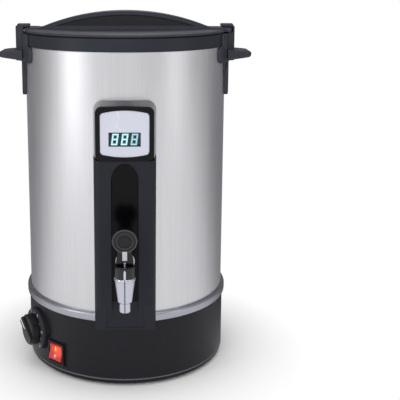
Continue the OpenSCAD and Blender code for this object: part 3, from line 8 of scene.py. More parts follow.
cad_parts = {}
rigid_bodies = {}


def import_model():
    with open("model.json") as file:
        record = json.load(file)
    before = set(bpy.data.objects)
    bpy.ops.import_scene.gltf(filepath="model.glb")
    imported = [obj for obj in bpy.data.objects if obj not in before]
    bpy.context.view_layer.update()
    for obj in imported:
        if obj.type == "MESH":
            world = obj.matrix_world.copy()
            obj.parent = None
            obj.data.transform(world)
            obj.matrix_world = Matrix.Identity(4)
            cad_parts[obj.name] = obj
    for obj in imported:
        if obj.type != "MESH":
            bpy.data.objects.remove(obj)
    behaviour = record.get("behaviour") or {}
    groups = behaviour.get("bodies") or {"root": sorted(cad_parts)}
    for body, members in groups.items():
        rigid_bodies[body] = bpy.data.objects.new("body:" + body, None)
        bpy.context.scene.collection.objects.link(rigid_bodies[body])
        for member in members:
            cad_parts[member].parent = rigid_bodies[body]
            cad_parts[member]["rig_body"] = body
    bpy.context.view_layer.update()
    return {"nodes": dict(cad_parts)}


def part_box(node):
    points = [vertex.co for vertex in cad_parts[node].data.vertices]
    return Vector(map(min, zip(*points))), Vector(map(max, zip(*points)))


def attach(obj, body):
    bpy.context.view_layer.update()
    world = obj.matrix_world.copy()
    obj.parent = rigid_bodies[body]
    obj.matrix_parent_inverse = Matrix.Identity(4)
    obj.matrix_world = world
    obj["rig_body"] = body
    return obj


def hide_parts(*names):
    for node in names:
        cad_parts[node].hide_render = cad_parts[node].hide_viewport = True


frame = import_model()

# ------------------------------------------------------------------ camera, light and floor
# A product picture: the urn stands on a white floor, seen from just above its lid. Tall soft boxes light it
# from both front sides and wide ones from the front, from above and from behind, and two grey cards beside
# the backdrop give the bright steel its darker flanks.

photo_side = 400
focal_pixels = 826
lens_centre = (140, 140)
sensor_width = 36
camera_place = (0.0074, -0.920, 0.425)
looks_down = radians(11.10)
looks_right = radians(0.55)

camera_data = bpy.data.cameras.new("product_camera")
camera_data.sensor_width = sensor_width
camera_data.lens = focal_pixels * sensor_width / photo_side
camera_data.shift_x = (photo_side / 2 - lens_centre[0]) / photo_side
camera_data.shift_y = (lens_centre[1] - photo_side / 2) / photo_side
camera_data.clip_start = 0.02
camera = bpy.data.objects.new("product_camera", camera_data)
camera.location = camera_place
camera.rotation_euler = (pi / 2 - looks_down, 0, -looks_right)
bpy.context.scene.collection.objects.link(camera)
bpy.context.scene.camera = camera
bpy.context.scene.view_settings.view_transform = "Standard"


def srgb(red, green, blue):
    """A colour as it looks on screen, 0 to 255, as the linear colour that a shader takes."""
    def linear(value):
        share = value / 255
        return share / 12.92 if share <= 0.04045 else ((share + 0.055) / 1.055) ** 2.4
    return (linear(red), linear(green), linear(blue), 1)


class Socket:
    """One output of a shader node. Arithmetic on it adds Math nodes."""

    def __init__(self, finish, output):
        self.finish = finish
        self.output = output

    def maths(self, operation, first, second):
        return self.finish.node("ShaderNodeMath", {"operation": operation}, {0: first, 1: second})

    def __add__(self, other):
        return self.maths("ADD", self, other)

    def __radd__(self, other):
        return self.maths("ADD", other, self)

    def __sub__(self, other):
        return self.maths("SUBTRACT", self, other)

    def __rsub__(self, other):
        return self.maths("SUBTRACT", other, self)

    def __mul__(self, other):
        return self.maths("MULTIPLY", self, other)

    def __rmul__(self, other):
        return self.maths("MULTIPLY", other, self)

    def __truediv__(self, other):
        return self.maths("DIVIDE", self, other)

    def __gt__(self, other):
        return self.maths("GREATER_THAN", self, other)

    def __lt__(self, other):
        return self.maths("LESS_THAN", self, other)

    def __abs__(self):
        return self.maths("ABSOLUTE", self, 0)

    def root(self):
        return self.maths("SQRT", self, 0)

    def held(self):
        """The value kept between 0 and 1."""
        return self.finish.node("ShaderNodeClamp", {}, {"Value": self})


class Finish:
    """One material or world: node() adds a node to it, and surface is its shader."""

    def __init__(self, owner, shader="Principled BSDF", constants=()):
        self.owner = owner
        owner.use_nodes = True
        self.nodes = owner.node_tree.nodes
        self.links = owner.node_tree.links
        self.surface = self.nodes[shader]
        for socket, value in dict(constants).items():
            self.surface.inputs[socket].default_value = value

    def feed(self, node, inputs):
        """Links a node's inputs to sockets and sets those that are given a plain value."""
        for socket, value in inputs.items():
            if isinstance(value, Socket):
                self.links.new(value.output, node.inputs[socket])
            else:
                node.inputs[socket].default_value = value

    def node(self, kind, settings=(), inputs=(), output=0):
        """Adds a node, with its settings first and its inputs next, and gives one of its outputs."""
        made = self.nodes.new(kind)
        for name, value in dict(settings).items():
            setattr(made, name, value)
        self.feed(made, dict(inputs))
        return Socket(self, made.outputs[output])

    def axis(self, name):
        """One of the Object coordinates, X, Y or Z, in metres."""
        spot = self.node("ShaderNodeTexCoord", output="Object")
        return self.node("ShaderNodeSeparateXYZ", {}, {0: spot}, output=name)

    def noise(self, scale, detail, stretch=(1, 1, 1), roughness=0.5):
        """Noise on the Object coordinates, which are stretched along the three axes first."""
        spot = self.node("ShaderNodeTexCoord", output="Object")
        place = self.node("ShaderNodeMapping", {}, {"Vector": spot, "Scale": stretch})
        inputs = {"Vector": place, "Scale": scale, "Detail": detail, "Roughness": roughness}
        return self.node("ShaderNodeTexNoise", {}, inputs)

    def tint(self, mask, low, high):
        """A colour between two, by a mask."""
        return self.node("ShaderNodeMix", {"data_type": "RGBA"}, {0: mask, 6: low, 7: high}, output=2)

    def bump(self, height, distance):
        return self.node("ShaderNodeBump", {}, {"Height": height, "Distance": distance, "Strength": 1.0})


# the backdrop is white where the camera sees it, and dimmer as a light and as what the steel mirrors
world = bpy.data.worlds.new("studio")
bpy.context.scene.world = world
studio = Finish(world, "Background")
ambient = 0.62
glossy_level = -0.20
seen = studio.node("ShaderNodeLightPath", output="Is Camera Ray")
mirrored = studio.node("ShaderNodeLightPath", output="Is Glossy Ray")
passed = studio.node("ShaderNodeLightPath", output="Is Transmission Ray")
studio.feed(studio.surface, {
    "Color": (1, 1, 1, 1),
    "Strength": ((seen + passed).held() * (1 - ambient) + mirrored * glossy_level + ambient).held(),
})

aim_point = Vector((0, 0, 0.2))


def aimed(name, data, azimuth, distance, height):
    """Stands something at an azimuth from the front and turns its face to the urn."""
    thing = bpy.data.objects.new(name, data)
    place = Vector((sin(azimuth) * distance, -cos(azimuth) * distance, height))
    turn = (aim_point - place).to_track_quat("-Z", "Y")
    thing.matrix_world = Matrix.Translation(place) @ turn.to_matrix().to_4x4()
    bpy.context.scene.collection.objects.link(thing)
    return thing


def softbox(name, azimuth, distance, height, width, tall, brightness):
    """A rectangular lamp. Its brightness is what a mirror would show of it, where 1 is white."""
    lamp = bpy.data.lights.new(name, "AREA")
    lamp.shape = "RECTANGLE"
    lamp.size = width
    lamp.size_y = tall
    lamp.energy = brightness * pi * width * tall
    aimed(name, lamp, azimuth, distance, height)


softbox("key_box", azimuth=radians(-58), distance=1.5, height=0.55, width=0.55, tall=1.5, brightness=2.0)
softbox("fill_box", azimuth=radians(56), distance=1.6, height=0.5, width=0.5, tall=1.4, brightness=1.0)
softbox("front_box", azimuth=radians(-8), distance=2.2, height=0.95, width=2.6, tall=1.1, brightness=1.6)
softbox("top_box", azimuth=radians(20), distance=0.35, height=1.7, width=1.4, tall=1.4, brightness=1.1)
softbox("rear_box", azimuth=radians(180), distance=1.9, height=1.25, width=1.2, tall=0.7, brightness=1.0)

# the steel mirrors the grey cards, but the camera doesn't see them and they throw no shadow
mid_grey = srgb(120, 120, 124)
card_size = (1.6, 1.4, 1)
card_material = bpy.data.materials.new("grey_card")
Finish(card_material, constants={"Base Color": mid_grey, "Roughness": 0.9, "Specular IOR Level": 0.1})
for card_name, card_azimuth in [("left_card", radians(-142)), ("right_card", radians(142))]:
    card_form = bmesh.new()
    bmesh.ops.create_grid(card_form, x_segments=1, y_segments=1, size=0.5)
    bmesh.ops.scale(card_form, vec=card_size, verts=card_form.verts)
    card_mesh = bpy.data.meshes.new(card_name)
    card_form.to_mesh(card_mesh)
    card_mesh.materials.append(card_material)
    card = aimed(card_name, card_mesh, card_azimuth, distance=1.3, height=0.5)
    card.visible_camera = False
    card.visible_shadow = False
    card.visible_diffuse = False

floor_form = bmesh.new()
bmesh.ops.create_circle(floor_form, cap_ends=True, segments=96, radius=6)
floor_mesh = bpy.data.meshes.new("floor")
floor_form.to_mesh(floor_mesh)
floor = bpy.data.objects.new("floor", floor_mesh)
bpy.context.scene.collection.objects.link(floor)

# the floor keeps its shadow near the urn and fades to the white of the backdrop further out;
# what the steel mirrors of it is darker behind the urn, as the end of a paper sweep is
shadow_reach = 0.117
fade_length = 0.09
dark_from = -1 / 6
dark_full = 1 / 2
floor_material = bpy.data.materials.new("white_floor")
floor_finish = Finish(floor_material, constants={"Roughness": 0.8, "Specular IOR Level": 0.0})
spot = floor_finish.node("ShaderNodeTexCoord", output="Object")
away = floor_finish.node("ShaderNodeVectorMath", {"operation": "LENGTH"}, {0: spot}, output="Value")
far = ((away - shadow_reach) / fade_length).held()
behind = floor_finish.axis("Y") / away
darkened = ((behind - dark_from) / (dark_full - dark_from)).held()
mirror_sees = floor_finish.node("ShaderNodeLightPath", output="Is Glossy Ray")
camera_sees = floor_finish.node("ShaderNodeLightPath", output="Is Camera Ray")
floor_finish.feed(floor_finish.surface, {
    "Base Color": floor_finish.tint(darkened * mirror_sees, srgb(246, 246, 246), mid_grey),
})
white = floor_finish.node("ShaderNodeEmission", {}, {"Color": (1, 1, 1, 1), "Strength": 1.0})
diffuse = Socket(floor_finish, floor_finish.surface.outputs[0])
shown = floor_finish.node("ShaderNodeMixShader", {}, {0: far * camera_sees, 1: diffuse, 2: white})
floor_finish.feed(floor_finish.nodes["Material Output"], {"Surface": shown})
floor_mesh.materials.append(floor_material)

# ------------------------------------------------------------------ rubber feet and bottom cover
# Four push-in rubber feet carry a moulded black cover with vent slots and four screws from below.
# The cover's rim shows as the plinth ring under the base housing.

mm = 0.001


def plastic(name, colour, roughness, grain=0.02, coat=0.0, cloud=0.25, shine=0.25,
            mark=None, mark_colour=None, mark_gloss=0.0):
    """Moulded plastic: a fine grain, a gloss that varies a little and a few faint rub marks.
    Where mark, a function of the finish, gives 1, it takes the mark's colour and is glossier."""
    finish = Finish(bpy.data.materials.new(name), constants={
        "Coat Weight": coat, "Coat Roughness": 0.06, "Specular IOR Level": shine})
    rub_level = 0.63
    rub_contrast = 7
    gloss_change = 0.12
    clouds = finish.noise(scale=16, detail=3)
    rubbing = finish.noise(scale=60, detail=4, stretch=(1, 1, 0.35), roughness=0.7)
    rubs = ((rubbing - rub_level) * rub_contrast).held()
    pores = finish.noise(scale=1500, detail=1)
    light = tuple(min(1, share * 1.7 + 0.004) for share in colour[:3]) + (1,)
    shade = finish.tint((clouds * cloud + rubs * 0.35).held(), colour, light)
    gloss = (clouds - 0.5) * gloss_change + rubs * gloss_change + roughness
    if mark:
        mask = mark(finish).held()
        shade = finish.tint(mask, shade, mark_colour)
        gloss = gloss - mask * mark_gloss
    finish.feed(finish.surface, {
        "Base Color": shade,
        "Roughness": gloss,
        "Normal": finish.bump(pores, grain * mm),
    })
    return finish.owner


def add_piece(name, form, material, rides_on, smooth_below=35):
    """Turns a bmesh into a piece with the given name and material, which rides on a body."""
    for face in form.faces:
        face.smooth = True
    for edge in form.edges:
        edge.smooth = edge.is_manifold and edge.calc_face_angle(0) < radians(smooth_below)
    mesh = bpy.data.meshes.new(name)
    form.to_mesh(mesh)
    form.free()
    mesh.materials.append(material)
    piece = bpy.data.objects.new(name, mesh)
    bpy.context.scene.collection.objects.link(piece)
    even = piece.modifiers.new("even_normals", "WEIGHTED_NORMAL")
    even.keep_sharp = True
    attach(piece, rides_on)
    return piece


def make_piece(name, form, material, stands_for):
    """Adds a piece that stands for one CAD node and rides where that node does."""
    piece = add_piece(name, form, material, frame["nodes"][stands_for]["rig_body"])
    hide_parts(stands_for)


def joined_copy(node):
    """A bmesh of a CAD piece with its loose triangles joined and its flat faces made whole."""
    same_point = 0.002 * mm
    same_plane = radians(0.6)
    form = bmesh.new()
    form.from_mesh(frame["nodes"][node].data)
    bmesh.ops.remove_doubles(form, verts=form.verts, dist=same_point)
    bmesh.ops.dissolve_limit(form, angle_limit=same_plane, verts=form.verts, edges=form.edges)
    return form


def round_edges(form, radius, segments=2):
    """Rounds the sharp edges, as a mould's edges are."""
    sharp = radians(28)
    edges = [edge for edge in form.edges if edge.is_manifold and edge.calc_face_angle(0) > sharp]
    bmesh.ops.bevel(form, geom=edges, offset=radius, segments=segments, profile=0.5, affect="EDGES",
                    material=-1, clamp_overlap=False)


def softened(node, radius, material, segments=2):
    """Adds a copy of a CAD piece with soft edges, in its own material."""
    form = joined_copy(node)
    if radius > 0:
        round_edges(form, radius, segments)
    make_piece(node + "_piece", form, material, node)


def paint(material, *nodes):
    """Gives CAD nodes that stay as they are their material."""
    for node in nodes:
        for material_slot in frame["nodes"][node].material_slots:
            material_slot.material = material


paint(plastic("foot_rubber", srgb(22, 22, 23), roughness=0.75, grain=0.05), "rubber_feet")
cover_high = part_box("bottom_cover")[1]
bead_r = 0.8 * mm


def bead_crown_highlight(finish):
    """The bead's crown, painted lighter as a highlight."""
    return 1.5 - abs(finish.axis("Z") - cover_high.z) / bead_r


# the base's black, with a painted highlight along the bead's crown
base_black = plastic("base_black", srgb(15, 16, 22), roughness=0.36, mark=bead_crown_highlight,
                     mark_colour=srgb(92, 92, 98))
cover_form = joined_copy("bottom_cover")
round_edges(cover_form, 0.5 * mm)

# a fine half-round bead where the cover meets the housing
bead_place = Matrix.Translation((cover_high.x, 0, cover_high.z)) @ Matrix.Rotation(pi / 2, 4, "X")
bead_form = bmesh.new()
bmesh.ops.create_circle(bead_form, segments=10, radius=bead_r, matrix=bead_place)
bmesh.ops.spin(bead_form, geom=bead_form.verts[:] + bead_form.edges[:], cent=(0, 0, 0), axis=(0, 0, 1),
               angle=2 * pi, steps=192, use_merge=True)
bmesh.ops.recalc_face_normals(bead_form, faces=bead_form.faces)
make_piece("bottom_cover_piece", cover_form, base_black, "bottom_cover")
add_piece("base_bead", bead_form, base_black, "urn")

# ------------------------------------------------------------------ base housing
# A deep black moulding under the steel shell, with flat pads for the dial, the switch and the mains inlet.
# It is held to the cover by four screws, and its spigot stands inside the shell.

softened("base_housing", 0.3 * mm, base_black)

# ------------------------------------------------------------------ trim ring
# A bright rolled steel band round the foot of the shell, open in front where the column passes.
# Four screws from inside hold it.


def brushed_steel(name, colour, roughness, grain, stretch, anisotropic=0.0, depth=0.004, contrast=0.5,
                  mark=None, mark_colour=None, metallic=1.0):
    """Brushed metal: fine lines in its colour, gloss and surface, and a few soft stains.
    Where mark, a function of the finish, gives 1, it takes the mark's colour."""
    constants = {"Metallic": metallic, "Anisotropic": anisotropic}
    finish = Finish(bpy.data.materials.new(name), constants=constants)
    lines = finish.noise(grain, detail=3, stretch=stretch, roughness=0.65)
    stains = finish.noise(scale=9, detail=2)
    dark = tuple(share * 0.80 for share in colour[:3]) + (1,)
    shade = finish.tint((0.5 + (lines - 0.5) * 2 * contrast + (stains - 0.5) * 0.4).held(), dark, colour)
    if mark:
        shade = finish.tint(mark(finish).held(), shade, mark_colour)
    finish.feed(finish.surface, {
        "Base Color": shade,
        "Roughness": (lines - 0.5) * 0.16 + (stains - 0.5) * 0.08 + roughness,
        "Normal": finish.bump(lines, depth * mm),
    })
    return finish.owner


around = (0.02, 0.02, 1)
ring_steel = brushed_steel("ring_steel", srgb(180, 181, 190), roughness=0.28, grain=1800, stretch=around,
                           anisotropic=0.4)
softened("trim_ring", 0.6 * mm, ring_steel)

# ------------------------------------------------------------------ steel shell
# One brushed stainless sheet, rolled to a drum and welded at the back, with a rolled bead at its top.
# It stands on the base's spigot and carries the collar, the column and the handles.

shell_low, shell_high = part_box("outer_shell")
shell_r = shell_high.x
shell_inner_r = shell_r - 1 * mm
shell_bead = 0.45 * mm
bead_steps = 6
weld_half = 0.9 * mm


def spun(outline, steps):
    """A closed outline, of distance from the Z axis and height, spun once round that axis."""
    form = bmesh.new()
    points = [form.verts.new((r, 0, z)) for r, z in outline]
    edges = [form.edges.new((points[i], points[(i + 1) % len(points)])) for i in range(len(points))]
    bmesh.ops.spin(form, geom=points + edges, cent=(0, 0, 0), axis=(0, 0, 1), angle=2 * pi, steps=steps,
                   use_merge=True)
    bmesh.ops.recalc_face_normals(form, faces=form.faces)
    return form


# the bead's points run from its top down, so the outline crosses itself at the bead's foot, and the faces
# of the sheet's two walls point inwards
shell_outline = [(shell_inner_r, shell_low.z), (shell_r, shell_low.z)]
for step in range(bead_steps, -1, -1):
    turn = pi * step / bead_steps
    shell_outline.append((shell_r + shell_bead * sin(turn), shell_high.z - shell_bead * (1 + cos(turn))))
shell_outline.append((shell_inner_r, shell_high.z))
shell_form = spun(shell_outline, steps=256)

shell_material = bpy.data.materials.new("shell_steel")
shell_finish = Finish(shell_material, constants={"Metallic": 1.0, "Anisotropic": 0.55})
streaks = shell_finish.noise(scale=700, detail=4, stretch=(1, 1, 0.012), roughness=0.7)
bands = shell_finish.noise(scale=55, detail=2, stretch=(1, 1, 0.05))
smears = shell_finish.noise(scale=7, detail=3)
weld = (1 - abs(shell_finish.axis("X")) / weld_half).held() * (shell_finish.axis("Y") > 0)
brightness = 0.55 + (streaks - 0.5) * 0.6 + (bands - 0.5) * 0.4 + (smears - 0.5) * 0.3 - weld * 0.5
shell_finish.feed(shell_finish.surface, {
    "Base Color": shell_finish.tint(brightness.held(), srgb(196, 196, 200), srgb(228, 228, 231)),
    "Roughness": 0.34 + (streaks - 0.5) * 0.10 + (smears - 0.5) * 0.06 + weld * 0.1,
    "Normal": shell_finish.bump(streaks * 0.6 + weld, 0.02 * mm),
})
make_piece("shell_sheet", shell_form, shell_material, "outer_shell")

# ------------------------------------------------------------------ top collar and pot
# A black ring closes the shell's top, carries the pot's flange on its ledge and takes the handles' upper
# screws. The pot is drawn from one bright sheet and hangs from the ledge by its flange.

collar_top_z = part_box("top_collar")[1].z
lid_line_tall = 1.2 * mm


def under_lid(finish):
    """The narrow shadow line where the lid meets the collar."""
    return finish.axis("Z") > collar_top_z - lid_line_tall


collar_black = plastic("collar_black", srgb(31, 34, 44), roughness=0.42, mark=under_lid,
                       mark_colour=srgb(4, 4, 6))
softened("top_collar", 0.5 * mm, collar_black)
pot_steel = brushed_steel("pot_steel", srgb(214, 215, 219), roughness=0.32, grain=1600, stretch=around,
                          metallic=0.6)
softened("inner_pot", 0, pot_steel)

# ------------------------------------------------------------------ heater
# Under the pot: a cast plate with a tubular element in its groove, three studs with nuts, a shield,
# a cut-out, a terminal block, the thermostat with its bulb, and the leads between them.

evenly = (1, 1, 1)
cast_aluminium = brushed_steel("cast_aluminium", srgb(178, 180, 184), roughness=0.5, grain=300,
                               stretch=evenly, depth=0.02)
element_steel = brushed_steel("element_steel", srgb(104, 106, 110), roughness=0.45, grain=900,
                              stretch=evenly)
zinc = brushed_steel("zinc_screws", srgb(170, 172, 178), roughness=0.35, grain=1200, stretch=(1, 1, 0.2))
shield_steel = brushed_steel("shield_steel", srgb(176, 178, 182), roughness=0.4, grain=900,
                             stretch=(0.05, 1, 1))
copper = brushed_steel("copper", srgb(190, 118, 76), roughness=0.35, grain=900, stretch=(1, 1, 0.3))
paint(cast_aluminium, "heating_plate")
paint(element_steel, "heating_element")
paint(shield_steel, "heat_shield", "thermostat_body", "temperature_probe")
paint(zinc, "pot_studs", "plate_nuts", "shank_nut", "dial_nut", "thermostat_spindle", "column_screws",
      "handle_screws", "ring_screws", "bottom_screws", "inlet_screws", "lid_screws")
paint(copper, "thermostat_bulb")
paint(plastic("cut_out_brown", srgb(70, 54, 46), roughness=0.5), "thermal_cutout")
paint(plastic("terminal_cream", srgb(226, 223, 210), roughness=0.45, cloud=0.1), "terminal_block")
paint(plastic("lead_sleeve", srgb(140, 46, 38), roughness=0.5), "internal_leads")

# ------------------------------------------------------------------ front column
# A hollow black moulding down the front, screwed on from inside the shell. A channel with an arched top
# runs behind the tap, and its sloped foot, with a sunk panel, laps over the base.

channel_half = 14.6 * mm
channel_z = 100 * mm
channel_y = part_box("front_column")[0].y + 1.2 * mm


def in_channel(finish):
    """The floor and the walls of the channel, which lie in deep shade."""
    across = abs(finish.axis("X")) < channel_half
    return across * (finish.axis("Y") > channel_y) * (finish.axis("Z") > channel_z)


column_black = plastic("column_black", srgb(33, 34, 41), roughness=0.34, shine=0.14, mark=in_channel,
                       mark_colour=srgb(4, 4, 6), mark_gloss=0.16)
softened("front_column", 0.6 * mm, column_black)

# ------------------------------------------------------------------ display head
# A silver-grey hood on the column's top holds a glossy black bezel with a pale panel. Behind the panel's
# tinted window three cyan digits of seven bars each stand on a small module and its board.

hood_fade = 30 * mm


def hood_dark_reflection(finish):
    """The middle of the hood, painted darker than its sides as a reflection of the dark bezel."""
    return 1.15 - abs(finish.axis("X")) / hood_fade


# the hood's silver, with a painted dark reflection down its middle
hood_silver = brushed_steel("hood_silver", srgb(158, 159, 164), roughness=0.36, grain=700,
                            stretch=(1, 1, 0.2), contrast=0.15, mark=hood_dark_reflection,
                            mark_colour=srgb(58, 59, 64))
softened("display_surround", 0.7 * mm, hood_silver)
bezel_black = plastic("bezel_black", srgb(6, 6, 8), roughness=0.16, grain=0.002, shine=0.18, cloud=0.1)
softened("display_bezel", 0.7 * mm, bezel_black, segments=3)
panel_silver = plastic("panel_silver", srgb(196, 198, 212), roughness=0.35, grain=0.004, coat=0.3,
                       cloud=0.06)
softened("display_panel", 0.35 * mm, panel_silver)

window_finish = Finish(bpy.data.materials.new("window_tint"), constants={
    "Base Color": srgb(14, 40, 50), "Coat Weight": 0.5})
smudge = window_finish.noise(scale=120, detail=3)
window_finish.feed(window_finish.surface, {
    "Alpha": 0.22 + (smudge - 0.5) * 0.05,
    "Roughness": 0.06 + smudge * 0.06,
    "Normal": window_finish.bump(smudge, 0.002 * mm),
})
paint(window_finish.owner, "display_window")
module_finish = Finish(bpy.data.materials.new("display_dark"))
dust = module_finish.noise(scale=300, detail=2)
module_finish.feed(module_finish.surface, {
    "Base Color": module_finish.tint(dust, srgb(12, 40, 52), srgb(16, 52, 64)),
    "Roughness": 0.34 + dust * 0.12,
    "Normal": module_finish.bump(dust, 0.01 * mm),
})
paint(module_finish.owner, "display_module")

# the right digit glows less than the other two
dim_from_x = 5 * mm
digit_finish = Finish(bpy.data.materials.new("digit_cyan"), constants={
    "Base Color": srgb(150, 210, 220), "Emission Strength": 1.5})
worn = digit_finish.noise(scale=500, detail=2)
dimmed = ((digit_finish.axis("X") > dim_from_x) * 0.5 + worn * 0.15).held()
digit_finish.feed(digit_finish.surface, {
    "Emission Color": digit_finish.tint(dimmed, srgb(195, 240, 248), srgb(96, 132, 146)),
    "Roughness": 0.44 + worn * 0.12,
    "Normal": digit_finish.bump(worn, 0.01 * mm),
})

# three leaning digits of seven plain bars, a little bolder than the solids behind the same window
digits_low, digits_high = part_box("display_digits")
digits_middle = (digits_low + digits_high) / 2
digit_tall = 11.4 * mm
digit_wide = 6.3 * mm
digit_step = 9.6 * mm
bar_t = 1.6 * mm
bar_gap = 0.2 * mm
flat_size = (digit_wide, bar_t)
upright_size = (bar_t, digit_tall / 2 - 1.5 * bar_t - 2 * bar_gap)
bar_up = (digit_tall - bar_t) / 2
bar_out = (digit_wide - bar_t) / 2
bars = [(0, k * bar_up, flat_size) for k in (-1, 0, 1)]
bars += [(i * bar_out, k * bar_up / 2, upright_size) for i in (-1, 1) for k in (-1, 1)]
lean = Matrix.Shear("XY", 4, (tan(radians(8)), 0))
digits_form = bmesh.new()
for digit in (-1, 0, 1):
    digit_place = digits_middle + Vector((digit * digit_step, 0, 0))
    for bar_x, bar_z, (bar_wide, bar_tall) in bars:
        bar = bmesh.ops.create_cube(digits_form, size=1)["verts"]
        bmesh.ops.scale(digits_form, vec=(bar_wide, digits_high.y - digits_low.y, bar_tall), verts=bar)
        bmesh.ops.translate(digits_form, vec=(bar_x, 0, bar_z), verts=bar)
        bmesh.ops.transform(digits_form, matrix=lean, verts=bar)
        bmesh.ops.translate(digits_form, vec=digit_place, verts=bar)
make_piece("digit_bars", digits_form, digit_finish.owner, "display_digits")
paint(plastic("board_green", srgb(34, 86, 56), roughness=0.4), "display_board")

# ------------------------------------------------------------------ tap
# A bright turned body with a tapered cup and a nozzle, a black bonnet pinned over its neck, and a black
# lever with a round pad that lifts the spring-loaded stem and disc inside.

reflection_half = 0.45 * mm
cup_front_y = -150 * mm
cup_top_z = 141 * mm


def tap_dark_reflection(finish):
    """A painted dark reflection down the front of the cup and the nozzle, of the gap between the lamps."""
    line = (1.5 - abs(finish.axis("X")) / reflection_half).held()
    return line * (finish.axis("Y") < cup_front_y) * (finish.axis("Z") < cup_top_z)


# the tap's chrome, with a painted dark reflection down the front of its cup and nozzle
tap_chrome = brushed_steel("tap_chrome", srgb(210, 212, 224), roughness=0.16, grain=1400,
                           stretch=(1, 1, 0.03), contrast=0.45, mark=tap_dark_reflection, mark_colour=srgb(24, 25, 34))
softened("tap_body", 0.3 * mm, tap_chrome)
paint(tap_chrome, "valve_stem")
softened("bonnet_clip", 0.2 * mm, tap_chrome)
softened("lever_pins", 0.2 * mm, tap_chrome)
tap_black = plastic("tap_black", srgb(9, 9, 11), roughness=0.16, grain=0.004, shine=0.5, cloud=0.1)
softened("tap_bonnet", 0.35 * mm, tap_black)
pad_z = 178.5 * mm
outer_ring_r = 11.3 * mm
inner_ring_r = 8.2 * mm
pad_ring_half = 0.6 * mm


def pad_ring_highlights(finish):
    """Two lighter rings painted on the pad as highlights on its raised rings."""
    apart = finish.axis("X")
    up = finish.axis("Z") - pad_z
    away = (apart * apart + up * up).root()
    outer_ring = (1.4 - abs(away - outer_ring_r) / pad_ring_half).held()
    inner_ring = (1.4 - abs(away - inner_ring_r) / pad_ring_half).held()
    return outer_ring + inner_ring * 0.5


# the lever's black, with painted highlights on the pad's two raised rings
lever_black = plastic("lever_black", srgb(15, 15, 18), roughness=0.26, grain=0.008, shine=0.35,
                      mark=pad_ring_highlights, mark_colour=srgb(66, 66, 72))
softened("tap_lever", 0.25 * mm, lever_black)
paint(plastic("badge_grey", srgb(176, 178, 184), roughness=0.35, cloud=0.1), "lever_badge")
paint(plastic("washer_silicone", srgb(176, 72, 58), roughness=0.6), "tap_washers", "valve_disc")
paint(zinc, "valve_spring")

# ------------------------------------------------------------------ handles
# Two black mouldings, one on each side: a root that hugs the shell and the collar, a strap below it,
# a flat grip, and a post whose hook holds the lid's lug. Three screws from inside hold each.

handle_black = plastic("handle_black", srgb(37, 39, 48), roughness=0.40, shine=0.35)
softened("handle_left", 0.8 * mm, handle_black)
softened("handle_right", 0.8 * mm, handle_black)

# ------------------------------------------------------------------ lid
# A black disc with a long arched grip ridge and two bayonet lugs. A steel liner is screwed under it,
# and a soft ring seals it on the pot's flange.

ridge_half_y = 18.5 * mm
ridge_foot_z = 371.8 * mm
crescent_border = 3.4 * mm
crescent_step = 0.4 * mm
crescent_sunk = 0.7 * mm
crescent_y = ridge_half_y - crescent_sunk
crescent_skin = 0.15 * mm
crescent_low_z = 372 * mm


def crescent_shade(finish):
    """The sunk floor of the crescents, painted darker as shade in the recess."""
    return (abs(abs(finish.axis("Y")) - crescent_y) < crescent_skin) * (finish.axis("Z") > crescent_low_z)


# the lid's black, with painted shade on the sunk floor of the crescents
lid_black = plastic("lid_black", srgb(40, 42, 54), roughness=0.42, shine=0.35, mark=crescent_shade,
                    mark_colour=srgb(17, 17, 26))
lid_form = joined_copy("lid")


def ridge_sides():
    """The two large flat sides of the ridge."""
    large = 0.002
    return [face for face in lid_form.faces if abs(face.normal.y) > 0.99 and face.calc_area() > large
            and abs(face.calc_center_median().y) > ridge_half_y - 1 * mm]


def narrow_crescent(face, band, sunk):
    """Draws a face's border in by a band, on an arch about the same centre, and sinks what is inside."""
    foot_share = 0.55
    half = max(vert.co.x for vert in face.verts)
    top = max(vert.co.z for vert in face.verts)
    rise = top - min(vert.co.z for vert in face.verts)
    arch_r = (half * half + rise * rise) / (2 * rise)
    inner_half = sqrt((arch_r - band) ** 2 - (arch_r - rise + band * foot_share) ** 2)
    bmesh.ops.inset_individual(lid_form, faces=[face], thickness=0)
    for vert in face.verts:
        vert.co.x *= inner_half / half
        vert.co.z = top - arch_r + sqrt((arch_r - band) ** 2 - vert.co.x ** 2)
        vert.co.y -= sunk if vert.co.y > 0 else -sunk


for side in ridge_sides():
    whole = [side] + list(side.verts) + list(side.edges)
    bmesh.ops.bisect_plane(lid_form, geom=whole, dist=0.01 * mm, plane_co=(0, 0, ridge_foot_z),
                           plane_no=(0, 0, 1))
for side in ridge_sides():
    narrow_crescent(side, crescent_border, 0)
    narrow_crescent(side, crescent_step, crescent_sunk)
round_edges(lid_form, 0.3 * mm)
make_piece("lid_piece", lid_form, lid_black, "lid")
softened("lid_liner", 0, pot_steel)
paint(plastic("seal_silicone", srgb(214, 211, 202), roughness=0.6, cloud=0.1), "lid_seal")

# ------------------------------------------------------------------ thermostat dial and knob
# A grey dial with white marks is clamped to its pad by the thermostat's nut, and a hollow black knob
# with a grip bar and a white pointer is pushed on the spindle.


def facing(azimuth, distance, height):
    """A place on the urn: its first axis goes round, the second up and the third outwards."""
    outwards = Vector((sin(azimuth), -cos(azimuth), 0))
    along = Vector((cos(azimuth), sin(azimuth), 0))
    turn = Matrix((along, (0, 0, 1), outwards)).transposed().to_4x4()
    return Matrix.Translation(outwards * distance + Vector((0, 0, height))) @ turn


dial_grey = plastic("dial_grey", srgb(40, 41, 46), roughness=0.4)
softened("dial_plate", 0.5 * mm, dial_grey)
knob_black = plastic("knob_black", srgb(15, 15, 18), roughness=0.34)
softened("control_knob", 0.5 * mm, knob_black)
paint(plastic("pointer_white", srgb(232, 232, 236), roughness=0.4, cloud=0.1), "knob_pointer")

